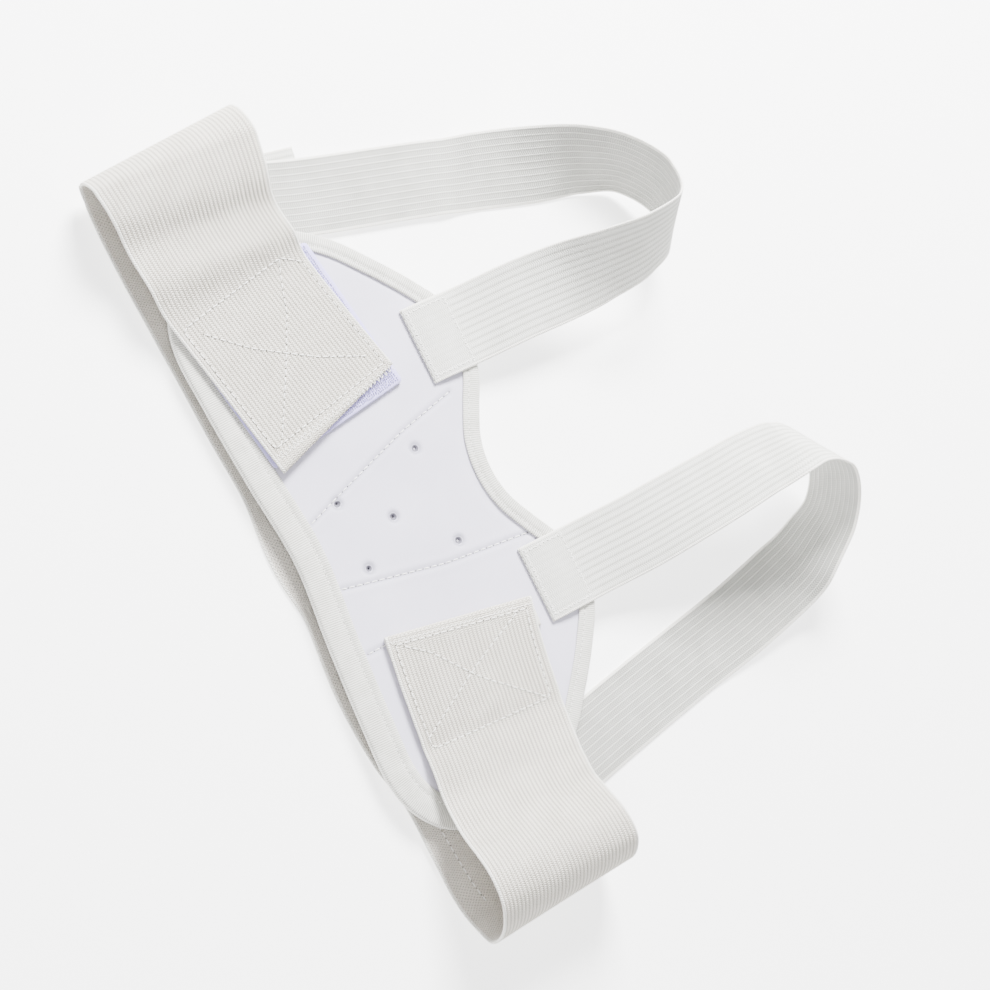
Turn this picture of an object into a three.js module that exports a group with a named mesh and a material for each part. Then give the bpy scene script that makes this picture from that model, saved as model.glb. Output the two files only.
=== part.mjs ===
// A double hernia belt lying front side up on a flat surface, in millimetres.
// X runs along the belt, +Y points from the waist edge to the leg straps, +Z is up.
// The origin is on the surface, under the middle of the whole belt.
// A foam front panel with a bound edge lies on the back of an elastic waist band. The band turns
// over in a loop at each end and comes back on the panel's front. Two elastic leg straps leave the
// panel's leg side, turn over in leaning loops and end under the back of the waist band.
import * as THREE from "three";

// Front panel: a laminated foam sheet with two lobes
const PANEL_LENGTH = 290;
const PANEL_WAIST_DEPTH = 58;
const PANEL_LEG_DEPTH = 72;
const PANEL_THICKNESS = 3;
const HOLE_DIAMETER = 4;
const HOLE_SPREAD = 47;

// Edge binding: a tape folded over the panel's rim. Its fold starts just inside the rim and has a
// shoulder above and below, in shares of how far it reaches out and of its thickness.
const BINDING_THICKNESS = 0.8;
const BINDING_WAIST_WIDTH = 13;
const BINDING_LEG_WIDTH = 7.5;
const BINDING_BACK_WIDTH = 7;
const FOLD_START = 0.5;
const SHOULDER_REACH = 0.75;
const SHOULDER_RISE = 0.35;

// How far the rim faces the waist side where the binding starts to widen and where it is widest
const WIDEN_FROM = -0.35;
const WIDEN_TO = 0.85;

// Waist band: wide woven elastic
const WAIST_WIDTH = 75;
const WAIST_THICKNESS = 1.5;
const UPPER_TAB_START = 50.5;
const LOWER_TAB_START = 56;
const UPPER_OVERHANG = 51;
const LOWER_OVERHANG = 43;
const UPPER_LOOP_HEIGHT = 27;
const LOWER_LOOP_HEIGHT = 45;

// Hook patch under the upper tab. Its place is in shares of half the panel and its waist depth.
const PATCH_LENGTH = 78;
const PATCH_WIDTH = 76;
const PATCH_THICKNESS = 1.2;
const PATCH_PLACE = -0.596;
const PATCH_ACROSS = -0.193;
const PATCH_TURN = 9.5;

// Ends turned back under themselves: the lower tab's hem and the left leg strap's tail
const HEM_LENGTH = 17;
const HEM_SWING = 6;
const TAIL_LENGTH = 57;
const TAIL_SWING = 5;

// Leg straps: narrow ribbed elastic
const LEG_WIDTH = 38;
const LEG_THICKNESS = 1.3;
const LEG_TAB_LENGTH = 25;
const LEFT_LEG_REACH = 127;
const RIGHT_LEG_REACH = 134;
const LEFT_LEG_SPREAD = 100;
const RIGHT_LEG_SPREAD = 97;
const LEFT_LOOP_RISE = 22;
const RIGHT_LOOP_RISE = 34;

// Clearance between pieces that lie on each other
const GAP = 0.3;

// Finishes
const WARM_ELASTIC = { color: 0xe8e5de, roughness: 0.9, metalness: 0 };
const PLAIN_ELASTIC = { color: 0xe5e5e2, roughness: 0.88, metalness: 0 };
const LAMINATE = { color: 0xe3e1e8, roughness: 0.6, metalness: 0 };
const KNIT_TAPE = { color: 0xecece8, roughness: 0.85, metalness: 0 };
const LILAC_HOOKS = { color: 0xdedaf0, roughness: 0.8, metalness: 0 };

// Heights of the layers, each from the one below it
const HALF_PANEL = PANEL_LENGTH / 2;
const LEG_LAYER = LEG_THICKNESS + GAP;
const PANEL_BACK = 2 * LEG_LAYER + WAIST_THICKNESS + BINDING_THICKNESS + 2 * GAP;
const PANEL_FRONT = PANEL_BACK + PANEL_THICKNESS;
const RIM_TOP = PANEL_FRONT + GAP + BINDING_THICKNESS;
const PATCH_TOP = RIM_TOP + GAP + PATCH_THICKNESS;
const HEM_TOP = PANEL_FRONT + GAP + WAIST_THICKNESS;

// Height of a strap's middle where it lies on each layer
const LEVEL = {
  legOnTable: LEG_THICKNESS / 2,
  legOnTail: LEG_LAYER + LEG_THICKNESS / 2,
  legOnPanel: PANEL_FRONT + GAP + LEG_THICKNESS / 2,
  legOnRim: RIM_TOP + GAP + LEG_THICKNESS / 2,
  bandOnTable: WAIST_THICKNESS / 2,
  bandOnLeg: LEG_LAYER + WAIST_THICKNESS / 2,
  bandOnTail: 2 * LEG_LAYER + WAIST_THICKNESS / 2,
  bandOnPatch: PATCH_TOP + GAP + WAIST_THICKNESS / 2,
  bandOnHem: HEM_TOP + GAP + WAIST_THICKNESS / 2,
};

// Sampling of the curved strips and outlines
const LONGEST_STEP = 9;
const SHARPEST_STEP = 16;
const RIM_POINTS = 112;
const RIM_STEPS = 12;
const HOLE_SIDES = 12;
const BAND_LANES = 4;
const STRAP_LANES = 2;
const FOLD_STEPS = 6;
const TINY_SHARE = 1e-3;

// Directions across the strips at no turn, in degrees from +X
const TOWARDS_LEGS = 90;
const TOWARDS_LEFT = 180;
const TOWARDS_RIGHT = 0;

function table(columns, rows) {
  return rows.map((row) => Object.fromEntries(columns.map((name, i) => [name, row[i]])));
}

// Half of the panel's outline, from the middle of the waist edge round the end to the notch.
// x is a share of half the panel's length, y of the depth on its side of the long axis.
const OUTLINE = table(["x", "y"], [
  [0, -0.885],
  [0.28, -0.945],
  [0.55, -0.99],
  [0.74, -1],
  [0.845, -0.93],
  [0.935, -0.76],
  [0.985, -0.48],
  [1, -0.16],
  [0.965, 0.16],
  [0.885, 0.42],
  [0.775, 0.63],
  [0.645, 0.84],
  [0.525, 0.985],
  [0.41, 1],
  [0.3, 0.965],
  [0.2, 0.86],
  [0.1, 0.765],
  [0, 0.735],
]);

// Air holes: x is a share of their spread, y of the panel's depth on the waist side
const HOLES = table(["x", "y"], [
  [-0.34, -0.386],
  [0.355, -0.386],
  [-0.5, 0.413],
  [0.5, 0.397],
  [0.01, -0.012],
]);

// Waist band from the upper tab's end to the lower tab's end. side says which loop a row belongs
// to. x is side times (panel shares of half the panel + past shares of the overhang). across is a
// share of the panel's waist depth. lift goes from the row's level at 0 to the loop's height at 1.
// turn is the strip's swing in plan in degrees, wide its share of the band's width.
const WAIST_ROWS = table(["side", "panel", "past", "across", "level", "lift", "turn", "wide"], [
  [-1, 0.586, 0, -0.215, "bandOnPatch", 0, 11.6, 0.975],
  [-1, 0.8, 0, -0.335, "bandOnPatch", 0, 10, 0.97],
  [-1, 0.93, 0, -0.39, "bandOnPatch", 0.17, 6, 0.99],
  [-1, 1, 0.18, -0.425, "bandOnPatch", 0.6, 3, 0.99],
  [-1, 1, 0.5, -0.43, "bandOnPatch", 0.95, 3, 1.04],
  [-1, 1, 0.76, -0.43, "bandOnPatch", 0.97, 5, 1.08],
  [-1, 1, 0.94, -0.435, "bandOnPatch", 0.56, 7, 1.08],
  [-1, 1, 1, -0.44, "bandOnTail", 0.46, 7, 1.08],
  [-1, 1, 0.93, -0.45, "bandOnTail", 0.16, 6, 1.06],
  [-1, 1, 0.74, -0.465, "bandOnTail", 0.02, 4, 1.02],
  [-1, 1, 0.5, -0.48, "bandOnTail", 0, 2, 1],
  [-1, 0.915, 0, -0.465, "bandOnTail", 0, -1, 1],
  [-1, 0.75, 0, -0.43, "bandOnTable", 0, -2, 1],
  [-1, 0.46, 0, -0.4, "bandOnTable", 0, 0, 1],
  [-1, 0.25, 0, -0.37, "bandOnTable", 0, 1, 1],
  [-1, 0.02, 0, -0.405, "bandOnTable", 0, 1, 1],
  [1, 0.16, 0, -0.36, "bandOnTable", 0, 0, 1],
  [1, 0.45, 0, -0.41, "bandOnTable", 0, 1, 1],
  [1, 0.65, 0, -0.38, "bandOnTable", 0, -2, 1],
  [1, 0.8, 0, -0.31, "bandOnLeg", 0, -3, 1],
  [1, 1, 0.1, -0.295, "bandOnLeg", 0, 0, 1],
  [1, 1, 0.5, -0.29, "bandOnLeg", 0.005, 1, 1],
  [1, 1, 0.82, -0.265, "bandOnLeg", 0.08, 2, 0.99],
  [1, 1, 0.98, -0.25, "bandOnLeg", 0.24, 3, 0.99],
  [1, 1, 0.99, -0.24, "bandOnLeg", 0.5, 1, 0.98],
  [1, 1, 0.86, -0.23, "bandOnHem", 0.72, -1, 0.97],
  [1, 1, 0.64, -0.22, "bandOnHem", 0.97, -3, 0.96],
  [1, 1, 0.4, -0.21, "bandOnHem", 0.95, -4, 0.95],
  [1, 1, 0.15, -0.19, "bandOnHem", 0.68, -4, 0.94],
  [1, 0.965, 0, -0.17, "bandOnHem", 0.36, -5, 0.94],
  [1, 0.88, 0, -0.12, "bandOnHem", 0.08, -6, 0.95],
  [1, 0.78, 0, -0.07, "bandOnHem", 0, -7, 0.96],
  [1, 0.52, 0, 0.02, "bandOnHem", 0, -9, 0.98],
]);
const UPPER_TAB_ACROSS = -0.076;
const LOWER_TAB_ACROSS = 0.083;
const UPPER_TAB_TURN = 11.6;
const LOWER_TAB_TURN = -9.1;
const UPPER_END_SKEW = 6.2;

// Leg straps from the tab on the lobe to the end under the band. out is a share of the spread,
// panel of the panel's leg depth, past of the reach. lean tips the outer rim up, in degrees.
const LEG_COLUMNS = ["out", "panel", "past", "level", "lift", "turn", "lean"];
const LEFT_LEG_ROWS = table(LEG_COLUMNS, [
  [0, 1, 0.02, "legOnRim", 0, 0, 0],
  [0, 1, 0.2, "legOnRim", 0.3, 0, 3],
  [-0.01, 1, 0.4, "legOnRim", 0.42, -3, 16],
  [-0.027, 1, 0.59, "legOnRim", 0.62, -6, 38],
  [-0.026, 1, 0.77, "legOnRim", 0.92, -8, 50],
  [0.03, 1, 0.91, "legOnRim", 0.75, -8, 55],
  [0.21, 1, 0.97, "legOnTable", 0.38, -4, 60],
  [0.4, 1, 0.89, "legOnTable", 0.1, 4, 55],
  [0.51, 1, 0.75, "legOnTable", 0.02, 10, 36],
  [0.59, 1, 0.57, "legOnTable", 0, 12, 16],
  [0.67, 1, 0.37, "legOnTable", 0, 13, 4],
  [0.74, 1, 0.14, "legOnTail", 0, 14, 0],
  [0.87, 0.43, 0, "legOnTail", 0, 14, 0],
  [0.945, 0.06, 0, "legOnTail", 0, 14, 0],
  [1, -0.28, 0, "legOnTail", 0, 14, 0],
]);
const RIGHT_LEG_ROWS = table(LEG_COLUMNS, [
  [0, 1, 0.02, "legOnRim", 0, 0, 0],
  [0, 1, 0.2, "legOnRim", 0.14, 0, 4],
  [-0.015, 1, 0.41, "legOnRim", 0.4, 1, 15],
  [-0.03, 1, 0.57, "legOnRim", 0.62, 2, 23],
  [-0.045, 1, 0.72, "legOnRim", 0.82, 4, 31],
  [-0.045, 1, 0.85, "legOnRim", 0.94, 4, 42],
  [0.06, 1, 0.99, "legOnRim", 0.5, 2, 52],
  [0.24, 1, 1.01, "legOnTable", 0.34, -2, 57],
  [0.37, 1, 0.97, "legOnTable", 0.11, -4, 54],
  [0.46, 1, 0.88, "legOnTable", 0.01, -6, 38],
  [0.54, 1, 0.775, "legOnTable", 0, -8, 16],
  [0.63, 1, 0.52, "legOnTable", 0, -10, 4],
  [0.69, 1, 0.25, "legOnTable", 0, -10, 0],
  [0.735, 1, 0.04, "legOnTable", 0, -10, 0],
  [0.8, 0.57, 0, "legOnTable", 0, -11, 0],
  [0.9, -0.1, 0, "legOnTable", 0, -12, 0],
  [1, -0.63, 0, "legOnTable", 0, -12, 0],
]);
const LEFT_LEG_PLACE = -0.452;
const RIGHT_LEG_PLACE = 0.403;

const rad = THREE.MathUtils.degToRad;
const mix = THREE.MathUtils.lerp;

// The slope at b of a smooth curve through a, b and c, flat wherever a neighbour is level with b
function slope(a, b, c, before, after) {
  if (a === b || b === c) return 0;
  return (b - a) / before - (c - a) / (before + after) + (c - b) / after;
}

// A smooth curve through rows of numbers. It returns the function of (span, share of the span).
function smooth(rows, closed) {
  const last = rows.length - 1;
  const at = (i) => {
    if (closed) return rows[(i + rows.length) % rows.length];
    return rows[Math.min(Math.max(i, 0), last)];
  };
  const knot = (i) => Math.sqrt(Math.hypot(...at(i + 1).slice(0, 3).map((x, k) => x - at(i)[k]))) || 1;
  const slopeAt = (i, k) => {
    if (!closed && i === 0) return (at(1)[k] - at(0)[k]) / knot(0);
    if (!closed && i === last) return (at(last)[k] - at(last - 1)[k]) / knot(last - 1);
    return slope(at(i - 1)[k], at(i)[k], at(i + 1)[k], knot(i - 1), knot(i));
  };
  return (i, s) => at(i).map((from, k) => {
    const to = at(i + 1)[k];
    const span = knot(i);
    const ease = s * s * (3 - 2 * s);
    const leave = slopeAt(i, k) * span * s * (1 - s) ** 2;
    const arrive = slopeAt(i + 1, k) * span * s * s * (1 - s);
    return mix(from, to, ease) + leave - arrive;
  });
}

// Rows of a strip with columns x, y, height of the lower rim, turn, lean and width become
// cross-sections: each has its middle and its unit directions across and through the strip.
function crossSections(rows) {
  const curve = smooth(rows, false);
  const point = (i, s) => {
    const [x, y, low, , lean, width] = curve(i, s);
    return new THREE.Vector3(x, y, low + Math.sin(rad(lean)) * width / 2);
  };
  const heading = (i, s) => {
    const from = Math.max(s - TINY_SHARE, 0);
    const to = Math.min(s + TINY_SHARE, 1);
    return point(i, to).sub(point(i, from)).normalize();
  };
  const sections = [];
  for (let i = 0; i < rows.length - 1; i += 1) {
    const length = point(i, 0).distanceTo(point(i, 1));
    const bend = THREE.MathUtils.radToDeg(heading(i, 0).angleTo(heading(i, 1)));
    const steps = Math.max(1, Math.ceil(length / LONGEST_STEP), Math.ceil(bend / SHARPEST_STEP));
    const end = i === rows.length - 2 ? steps : steps - 1;
    for (let step = 0; step <= end; step += 1) {
      const [x, y, low, turn, lean, width] = curve(i, step / steps);
      const along = heading(i, step / steps);
      const across = new THREE.Vector3(
        Math.cos(rad(lean)) * Math.cos(rad(turn)),
        Math.cos(rad(lean)) * Math.sin(rad(turn)),
        Math.sin(rad(lean)),
      );
      // A strip without lean keeps its width level where it runs straight up or down
      const squared = lean === 0 ? 1 - along.z ** 2 : 1;
      across.addScaledVector(along, -across.dot(along) * squared).normalize();
      const through = new THREE.Vector3().crossVectors(across, along).normalize();
      const middle = new THREE.Vector3(x, y, low + Math.abs(across.z) * width / 2);
      sections.push({ middle, across, through, width });
    }
  }
  return sections;
}

// Closes a ring-by-ring grid of points into one body. caps closes the first and last ring.
function skin(rings, caps) {
  const size = rings[0].length;
  const index = [];
  const spans = caps ? rings.length - 1 : rings.length;
  for (let r = 0; r < spans; r += 1) {
    const next = (r + 1) % rings.length;
    for (let k = 0; k < size; k += 1) {
      const a = r * size + k;
      const b = r * size + ((k + 1) % size);
      const c = next * size + ((k + 1) % size);
      const d = next * size + k;
      index.push(a, b, c, a, c, d);
    }
  }
  if (caps) {
    const half = size / 2;
    const tail = (rings.length - 1) * size;
    for (let k = 0; k < half - 1; k += 1) {
      const opposite = size - 1 - k;
      index.push(k, opposite, opposite - 1, k, opposite - 1, k + 1);
      index.push(tail + k, tail + opposite - 1, tail + opposite, tail + k, tail + k + 1, tail + opposite - 1);
    }
  }
  const geometry = new THREE.BufferGeometry();
  const values = rings.flat().flatMap((p) => p.toArray());
  geometry.setAttribute("position", new THREE.Float32BufferAttribute(values, 3));
  geometry.setIndex(index);
  return geometry;
}

// A strip of constant thickness along its sections, with its faces in that many lanes across
function ribbon(sections, thickness, lanes) {
  const rings = sections.map(({ middle, across, through, width, skew = 0 }) => {
    const along = new THREE.Vector3().crossVectors(through, across);
    const side = (share, up) => middle.clone()
      .addScaledVector(across, share * width)
      .addScaledVector(along, share * width * Math.tan(rad(skew)))
      .addScaledVector(through, up * thickness / 2);
    const shares = Array.from({ length: lanes + 1 }, (_, k) => k / lanes - 0.5);
    return [...shares.map((s) => side(s, 1)), ...shares.reverse().map((s) => side(s, -1))];
  });
  return skin(rings, true);
}

// Turns a strip's last section back under itself in a half circle and runs it straight to an end
function turnBack(sections, radius, length, swing) {
  const last = sections.at(-1);
  const along = new THREE.Vector3().crossVectors(last.through, last.across);
  const down = new THREE.Vector3(0, 0, -1);
  const turned = [];
  for (let step = 1; step <= FOLD_STEPS; step += 1) {
    const angle = Math.PI * step / FOLD_STEPS;
    const middle = last.middle.clone()
      .addScaledVector(along, radius * Math.sin(angle))
      .addScaledVector(down, radius * (1 - Math.cos(angle)));
    const through = last.through.clone().multiplyScalar(Math.cos(angle))
      .addScaledVector(along, Math.sin(angle));
    turned.push({ ...last, middle, through });
  }
  const back = turned.at(-1);
  const upright = new THREE.Vector3(0, 0, 1);
  const run = along.clone().negate().applyAxisAngle(upright, rad(swing));
  const across = last.across.clone().applyAxisAngle(upright, rad(swing));
  turned.push({ ...back, middle: back.middle.clone().addScaledVector(run, length), across });
  return [...sections, ...turned];
}

// The panel's outline as evenly spaced points, each with its inward direction
function outline() {
  const right = OUTLINE.map(({ x, y }) => [
    x * HALF_PANEL,
    y * (y < 0 ? PANEL_WAIST_DEPTH : PANEL_LEG_DEPTH),
    0,
  ]);
  const left = right.slice(1, -1).reverse().map(([x, y, z]) => [-x, y, z]);
  const rows = [...right, ...left];
  const curve = smooth(rows, true);
  const fine = [];
  for (let i = 0; i < rows.length; i += 1) {
    for (let step = 0; step < RIM_STEPS; step += 1) {
      fine.push(new THREE.Vector2(...curve(i, step / RIM_STEPS).slice(0, 2)));
    }
  }
  const lengths = [0];
  for (let i = 0; i < fine.length; i += 1) {
    lengths.push(lengths[i] + fine[i].distanceTo(fine[(i + 1) % fine.length]));
  }
  const points = [];
  let i = 0;
  for (let n = 0; n < RIM_POINTS; n += 1) {
    const target = lengths.at(-1) * n / RIM_POINTS;
    while (lengths[i + 1] < target) i += 1;
    const share = (target - lengths[i]) / (lengths[i + 1] - lengths[i]);
    points.push(fine[i % fine.length].clone().lerp(fine[(i + 1) % fine.length], share));
  }
  return points.map((point, n) => {
    const before = points[(n + RIM_POINTS - 1) % RIM_POINTS];
    const after = points[(n + 1) % RIM_POINTS];
    const along = after.clone().sub(before).normalize();
    return { point, inward: new THREE.Vector2(-along.y, along.x) };
  });
}

function panelGeometry() {
  const shape = new THREE.Shape(outline().map(({ point }) => point));
  for (const { x, y } of HOLES) {
    const hole = new THREE.Path();
    hole.absarc(x * HOLE_SPREAD, y * PANEL_WAIST_DEPTH, HOLE_DIAMETER / 2, 0, 2 * Math.PI, true);
    shape.holes.push(new THREE.Path(hole.getPoints(HOLE_SIDES).slice(0, -1)));
  }
  const sheet = new THREE.ExtrudeGeometry(shape, {
    depth: PANEL_THICKNESS,
    bevelEnabled: false,
    curveSegments: 1,
  });
  return sheet.translate(0, 0, PANEL_BACK);
}

// The tape's section folded over the rim, widest along the waist edge
function bindingGeometry() {
  const low = PANEL_BACK - GAP;
  const high = PANEL_FRONT + GAP;
  const reach = GAP + BINDING_THICKNESS;
  const rings = outline().map(({ point, inward }) => {
    const waistShare = THREE.MathUtils.smoothstep(inward.y, WIDEN_FROM, WIDEN_TO);
    const width = mix(BINDING_LEG_WIDTH, BINDING_WAIST_WIDTH, waistShare);
    const section = [
      [width, high],
      [width, high + BINDING_THICKNESS],
      [FOLD_START, high + BINDING_THICKNESS],
      [-SHOULDER_REACH * reach, high + SHOULDER_RISE * BINDING_THICKNESS],
      [-reach, (low + high) / 2],
      [-SHOULDER_REACH * reach, low - SHOULDER_RISE * BINDING_THICKNESS],
      [FOLD_START, low - BINDING_THICKNESS],
      [BINDING_BACK_WIDTH, low - BINDING_THICKNESS],
      [BINDING_BACK_WIDTH, low],
      [-GAP, low],
      [-GAP, high],
    ];
    return section.map(([into, z]) => {
      const place = point.clone().addScaledVector(inward, into);
      return new THREE.Vector3(place.x, place.y, z);
    });
  });
  return skin(rings, false);
}

function waistSections() {
  const rows = WAIST_ROWS.map(({ side, panel, past, across, level, lift, turn, wide }) => {
    const overhang = side < 0 ? UPPER_OVERHANG : LOWER_OVERHANG;
    const height = side < 0 ? UPPER_LOOP_HEIGHT : LOWER_LOOP_HEIGHT;
    return [
      side * (panel * HALF_PANEL + past * overhang),
      across * PANEL_WAIST_DEPTH,
      mix(LEVEL[level], height, lift),
      TOWARDS_LEGS + turn,
      0,
      wide * WAIST_WIDTH,
    ];
  });
  const start = [-UPPER_TAB_START, UPPER_TAB_ACROSS * PANEL_WAIST_DEPTH, LEVEL.bandOnPatch];
  const end = [LOWER_TAB_START, LOWER_TAB_ACROSS * PANEL_WAIST_DEPTH, LEVEL.bandOnHem];
  const sections = crossSections([
    [...start, TOWARDS_LEGS + UPPER_TAB_TURN, 0, WAIST_WIDTH],
    ...rows,
    [...end, TOWARDS_LEGS + LOWER_TAB_TURN, 0, WAIST_WIDTH],
  ]);
  sections[0].skew = UPPER_END_SKEW;
  return turnBack(sections, (WAIST_THICKNESS + GAP) / 2, HEM_LENGTH, HEM_SWING);
}

function legSections(rows, side, place, reach, spread, rise) {
  const middle = place * HALF_PANEL;
  const tabEnd = PANEL_LEG_DEPTH - LEG_TAB_LENGTH;
  const rampEnd = PANEL_LEG_DEPTH - 2 * BINDING_LEG_WIDTH;
  const flat = side < 0 ? TOWARDS_LEFT : TOWARDS_RIGHT;
  const placed = rows.map(({ out, panel, past, level, lift, turn, lean }) => [
    middle + side * out * spread,
    panel * PANEL_LEG_DEPTH + past * reach,
    mix(LEVEL[level], rise, lift),
    flat + turn,
    lean,
    LEG_WIDTH,
  ]);
  return crossSections([
    [middle, tabEnd, LEVEL.legOnPanel, flat, 0, LEG_WIDTH],
    [middle, rampEnd, LEVEL.legOnRim, flat, 0, LEG_WIDTH],
    ...placed,
  ]);
}

function leftLegSections() {
  const sections = legSections(
    LEFT_LEG_ROWS,
    -1,
    LEFT_LEG_PLACE,
    LEFT_LEG_REACH,
    LEFT_LEG_SPREAD,
    LEFT_LOOP_RISE,
  );
  return turnBack(sections, LEG_LAYER / 2, TAIL_LENGTH, TAIL_SWING);
}

function rightLegSections() {
  return legSections(
    RIGHT_LEG_ROWS,
    1,
    RIGHT_LEG_PLACE,
    RIGHT_LEG_REACH,
    RIGHT_LEG_SPREAD,
    RIGHT_LOOP_RISE,
  );
}

function piece(name, geometry, finish) {
  const made = new THREE.Mesh(geometry, new THREE.MeshStandardMaterial(finish));
  made.name = name;
  return made;
}

function hookPatch() {
  const sheet = new THREE.BoxGeometry(PATCH_LENGTH, PATCH_WIDTH, PATCH_THICKNESS);
  const patch = piece("waist_hook_patch", sheet, LILAC_HOOKS);
  patch.position.set(
    PATCH_PLACE * HALF_PANEL,
    PATCH_ACROSS * PANEL_WAIST_DEPTH,
    PATCH_TOP - PATCH_THICKNESS / 2,
  );
  patch.rotation.z = rad(PATCH_TURN);
  return patch;
}

const belt = new THREE.Group();
const panel = new THREE.Group();
panel.add(piece("front_panel", panelGeometry(), LAMINATE));
panel.add(piece("edge_binding", bindingGeometry(), KNIT_TAPE));
const band = new THREE.Group();
band.add(piece("waist_band", ribbon(waistSections(), WAIST_THICKNESS, BAND_LANES), WARM_ELASTIC));
band.add(hookPatch());
const legs = new THREE.Group();
legs.add(piece("leg_strap_left", ribbon(leftLegSections(), LEG_THICKNESS, STRAP_LANES), PLAIN_ELASTIC));
legs.add(piece("leg_strap_right", ribbon(rightLegSections(), LEG_THICKNESS, STRAP_LANES), PLAIN_ELASTIC));
belt.add(panel, band, legs);

// Moves the belt so that the origin is under the middle of its box
const box = new THREE.Box3().setFromObject(belt);
const centre = box.getCenter(new THREE.Vector3());
belt.position.set(-centre.x, -centre.y, -box.min.z);

export default belt;
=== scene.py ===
"""Dresses a double hernia belt that lies front side up, and sets up its studio.

Sizes are in millimetres in the panel's own frame, as in the part's source, and become metres in
the library's frame when a mesh is made. X runs along the belt, +Y to the leg straps, +Z is up.
"""

import logging
import math
from dataclasses import dataclass, replace
from enum import Enum
from typing import Callable, Sequence

import bmesh
import bpy
import numpy as np
from mathutils import Matrix, Vector

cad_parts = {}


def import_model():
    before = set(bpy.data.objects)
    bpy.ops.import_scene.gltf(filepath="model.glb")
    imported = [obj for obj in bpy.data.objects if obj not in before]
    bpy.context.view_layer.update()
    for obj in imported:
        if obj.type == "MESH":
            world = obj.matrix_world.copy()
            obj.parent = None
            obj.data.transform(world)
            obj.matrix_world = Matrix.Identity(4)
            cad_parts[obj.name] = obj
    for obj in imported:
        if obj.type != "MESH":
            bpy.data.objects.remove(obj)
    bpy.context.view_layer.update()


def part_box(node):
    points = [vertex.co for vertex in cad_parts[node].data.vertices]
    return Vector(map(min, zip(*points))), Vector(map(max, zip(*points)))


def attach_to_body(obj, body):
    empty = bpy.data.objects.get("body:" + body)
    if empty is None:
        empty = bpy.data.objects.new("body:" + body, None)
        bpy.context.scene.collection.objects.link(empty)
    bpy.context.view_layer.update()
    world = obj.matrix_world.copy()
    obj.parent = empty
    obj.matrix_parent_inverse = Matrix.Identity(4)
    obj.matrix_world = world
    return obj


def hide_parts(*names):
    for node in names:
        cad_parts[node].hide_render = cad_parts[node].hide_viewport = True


LOG = logging.getLogger("hernia_belt")
MM = 0.001
TINY_SHARE = 1e-3
WEAVE_UV = "weave"
BODY = "root"

# Attribute of a mesh: on an elastic, 1 where its knit is flattened and 0 elsewhere; on the panel,
# the share of painted shade along its seams and round its air holes
CALM_AND_PAINTED_SHADE = "calm_and_painted_shade"


class Level(Enum):
    """What a strap lies on, from the table up."""

    LEG_ON_TABLE = 0
    LEG_ON_TAIL = 1
    LEG_ON_PANEL = 2
    LEG_ON_RIM = 3
    BAND_ON_TABLE = 4
    BAND_ON_LEG = 5
    BAND_ON_TAIL = 6
    BAND_ON_PATCH = 7
    BAND_ON_HEM = 8


class Hold(Enum):
    LAID = "laid"
    FOLDED = "folded"


class Weave(Enum):
    """How a knitted face looks."""

    RIBBED = "broad ribs between fine dark grooves"
    LINED = "flat bands between narrow bright lines"
    HONEYCOMB = "staggered rows of pinholes"


class Side(Enum):
    """Which end of the belt a strap is on."""

    LEFT = -1
    RIGHT = 1


@dataclass(frozen=True)
class Layers:
    """Thicknesses of the cloths and the heights at which they lie on each other."""

    gap: float = 0.3
    leg: float = 1.3
    band: float = 1.5
    panel: float = 3.0
    tape: float = 0.8
    patch: float = 1.2

    @property
    def leg_layer(self) -> float:
        """Height that one leg strap takes up."""
        return self.leg + self.gap

    @property
    def panel_back(self) -> float:
        """Height of the panel's back."""
        return 2 * self.leg_layer + self.band + self.tape + 2 * self.gap

    @property
    def panel_front(self) -> float:
        """Height of the panel's front."""
        return self.panel_back + self.panel

    @property
    def rim_top(self) -> float:
        """Height of the edge binding's top."""
        return self.panel_front + self.gap + self.tape

    @property
    def patch_top(self) -> float:
        """Height of the hook patch's top."""
        return self.rim_top + self.gap + self.patch

    @property
    def hem_top(self) -> float:
        """Height of the lower tab's turned hem."""
        return self.panel_front + self.gap + self.band

    def middle(self, level: Level) -> float:
        """Height of a strap's middle on a level.

        Args:
            level: What the strap lies on.

        Returns:
            The height in millimetres.
        """
        return {
            Level.LEG_ON_TABLE: self.leg / 2,
            Level.LEG_ON_TAIL: self.leg_layer + self.leg / 2,
            Level.LEG_ON_PANEL: self.panel_front + self.gap + self.leg / 2,
            Level.LEG_ON_RIM: self.rim_top + self.gap + self.leg / 2,
            Level.BAND_ON_TABLE: self.band / 2,
            Level.BAND_ON_LEG: self.leg_layer + self.band / 2,
            Level.BAND_ON_TAIL: 2 * self.leg_layer + self.band / 2,
            Level.BAND_ON_PATCH: self.patch_top + self.gap + self.band / 2,
            Level.BAND_ON_HEM: self.hem_top + self.gap + self.band / 2,
        }[level]


def mix(start: float, end: float, share: float) -> float:
    """Value at a share of the way from start to end."""
    return (1 - share) * start + share * end


def smoothstep(values: np.ndarray, low: float, high: float) -> np.ndarray:
    """Smooth ramp from 0 at low to 1 at high."""
    share = np.clip((values - low) / (high - low), 0, 1)
    return share * share * (3 - 2 * share)


def bell(distance: np.ndarray, width: float) -> np.ndarray:
    """Bell-shaped falloff, 1 at no distance."""
    return np.exp(-np.square(distance / width))


Colour = tuple[int, int, int]


def linear(colour: Colour) -> tuple[float, float, float, float]:
    """Linear colour of an 8-bit screen colour."""
    parts = [((c / 255 + 0.055) / 1.055) ** 2.4 for c in colour]
    return (*parts, 1.0)


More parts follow.
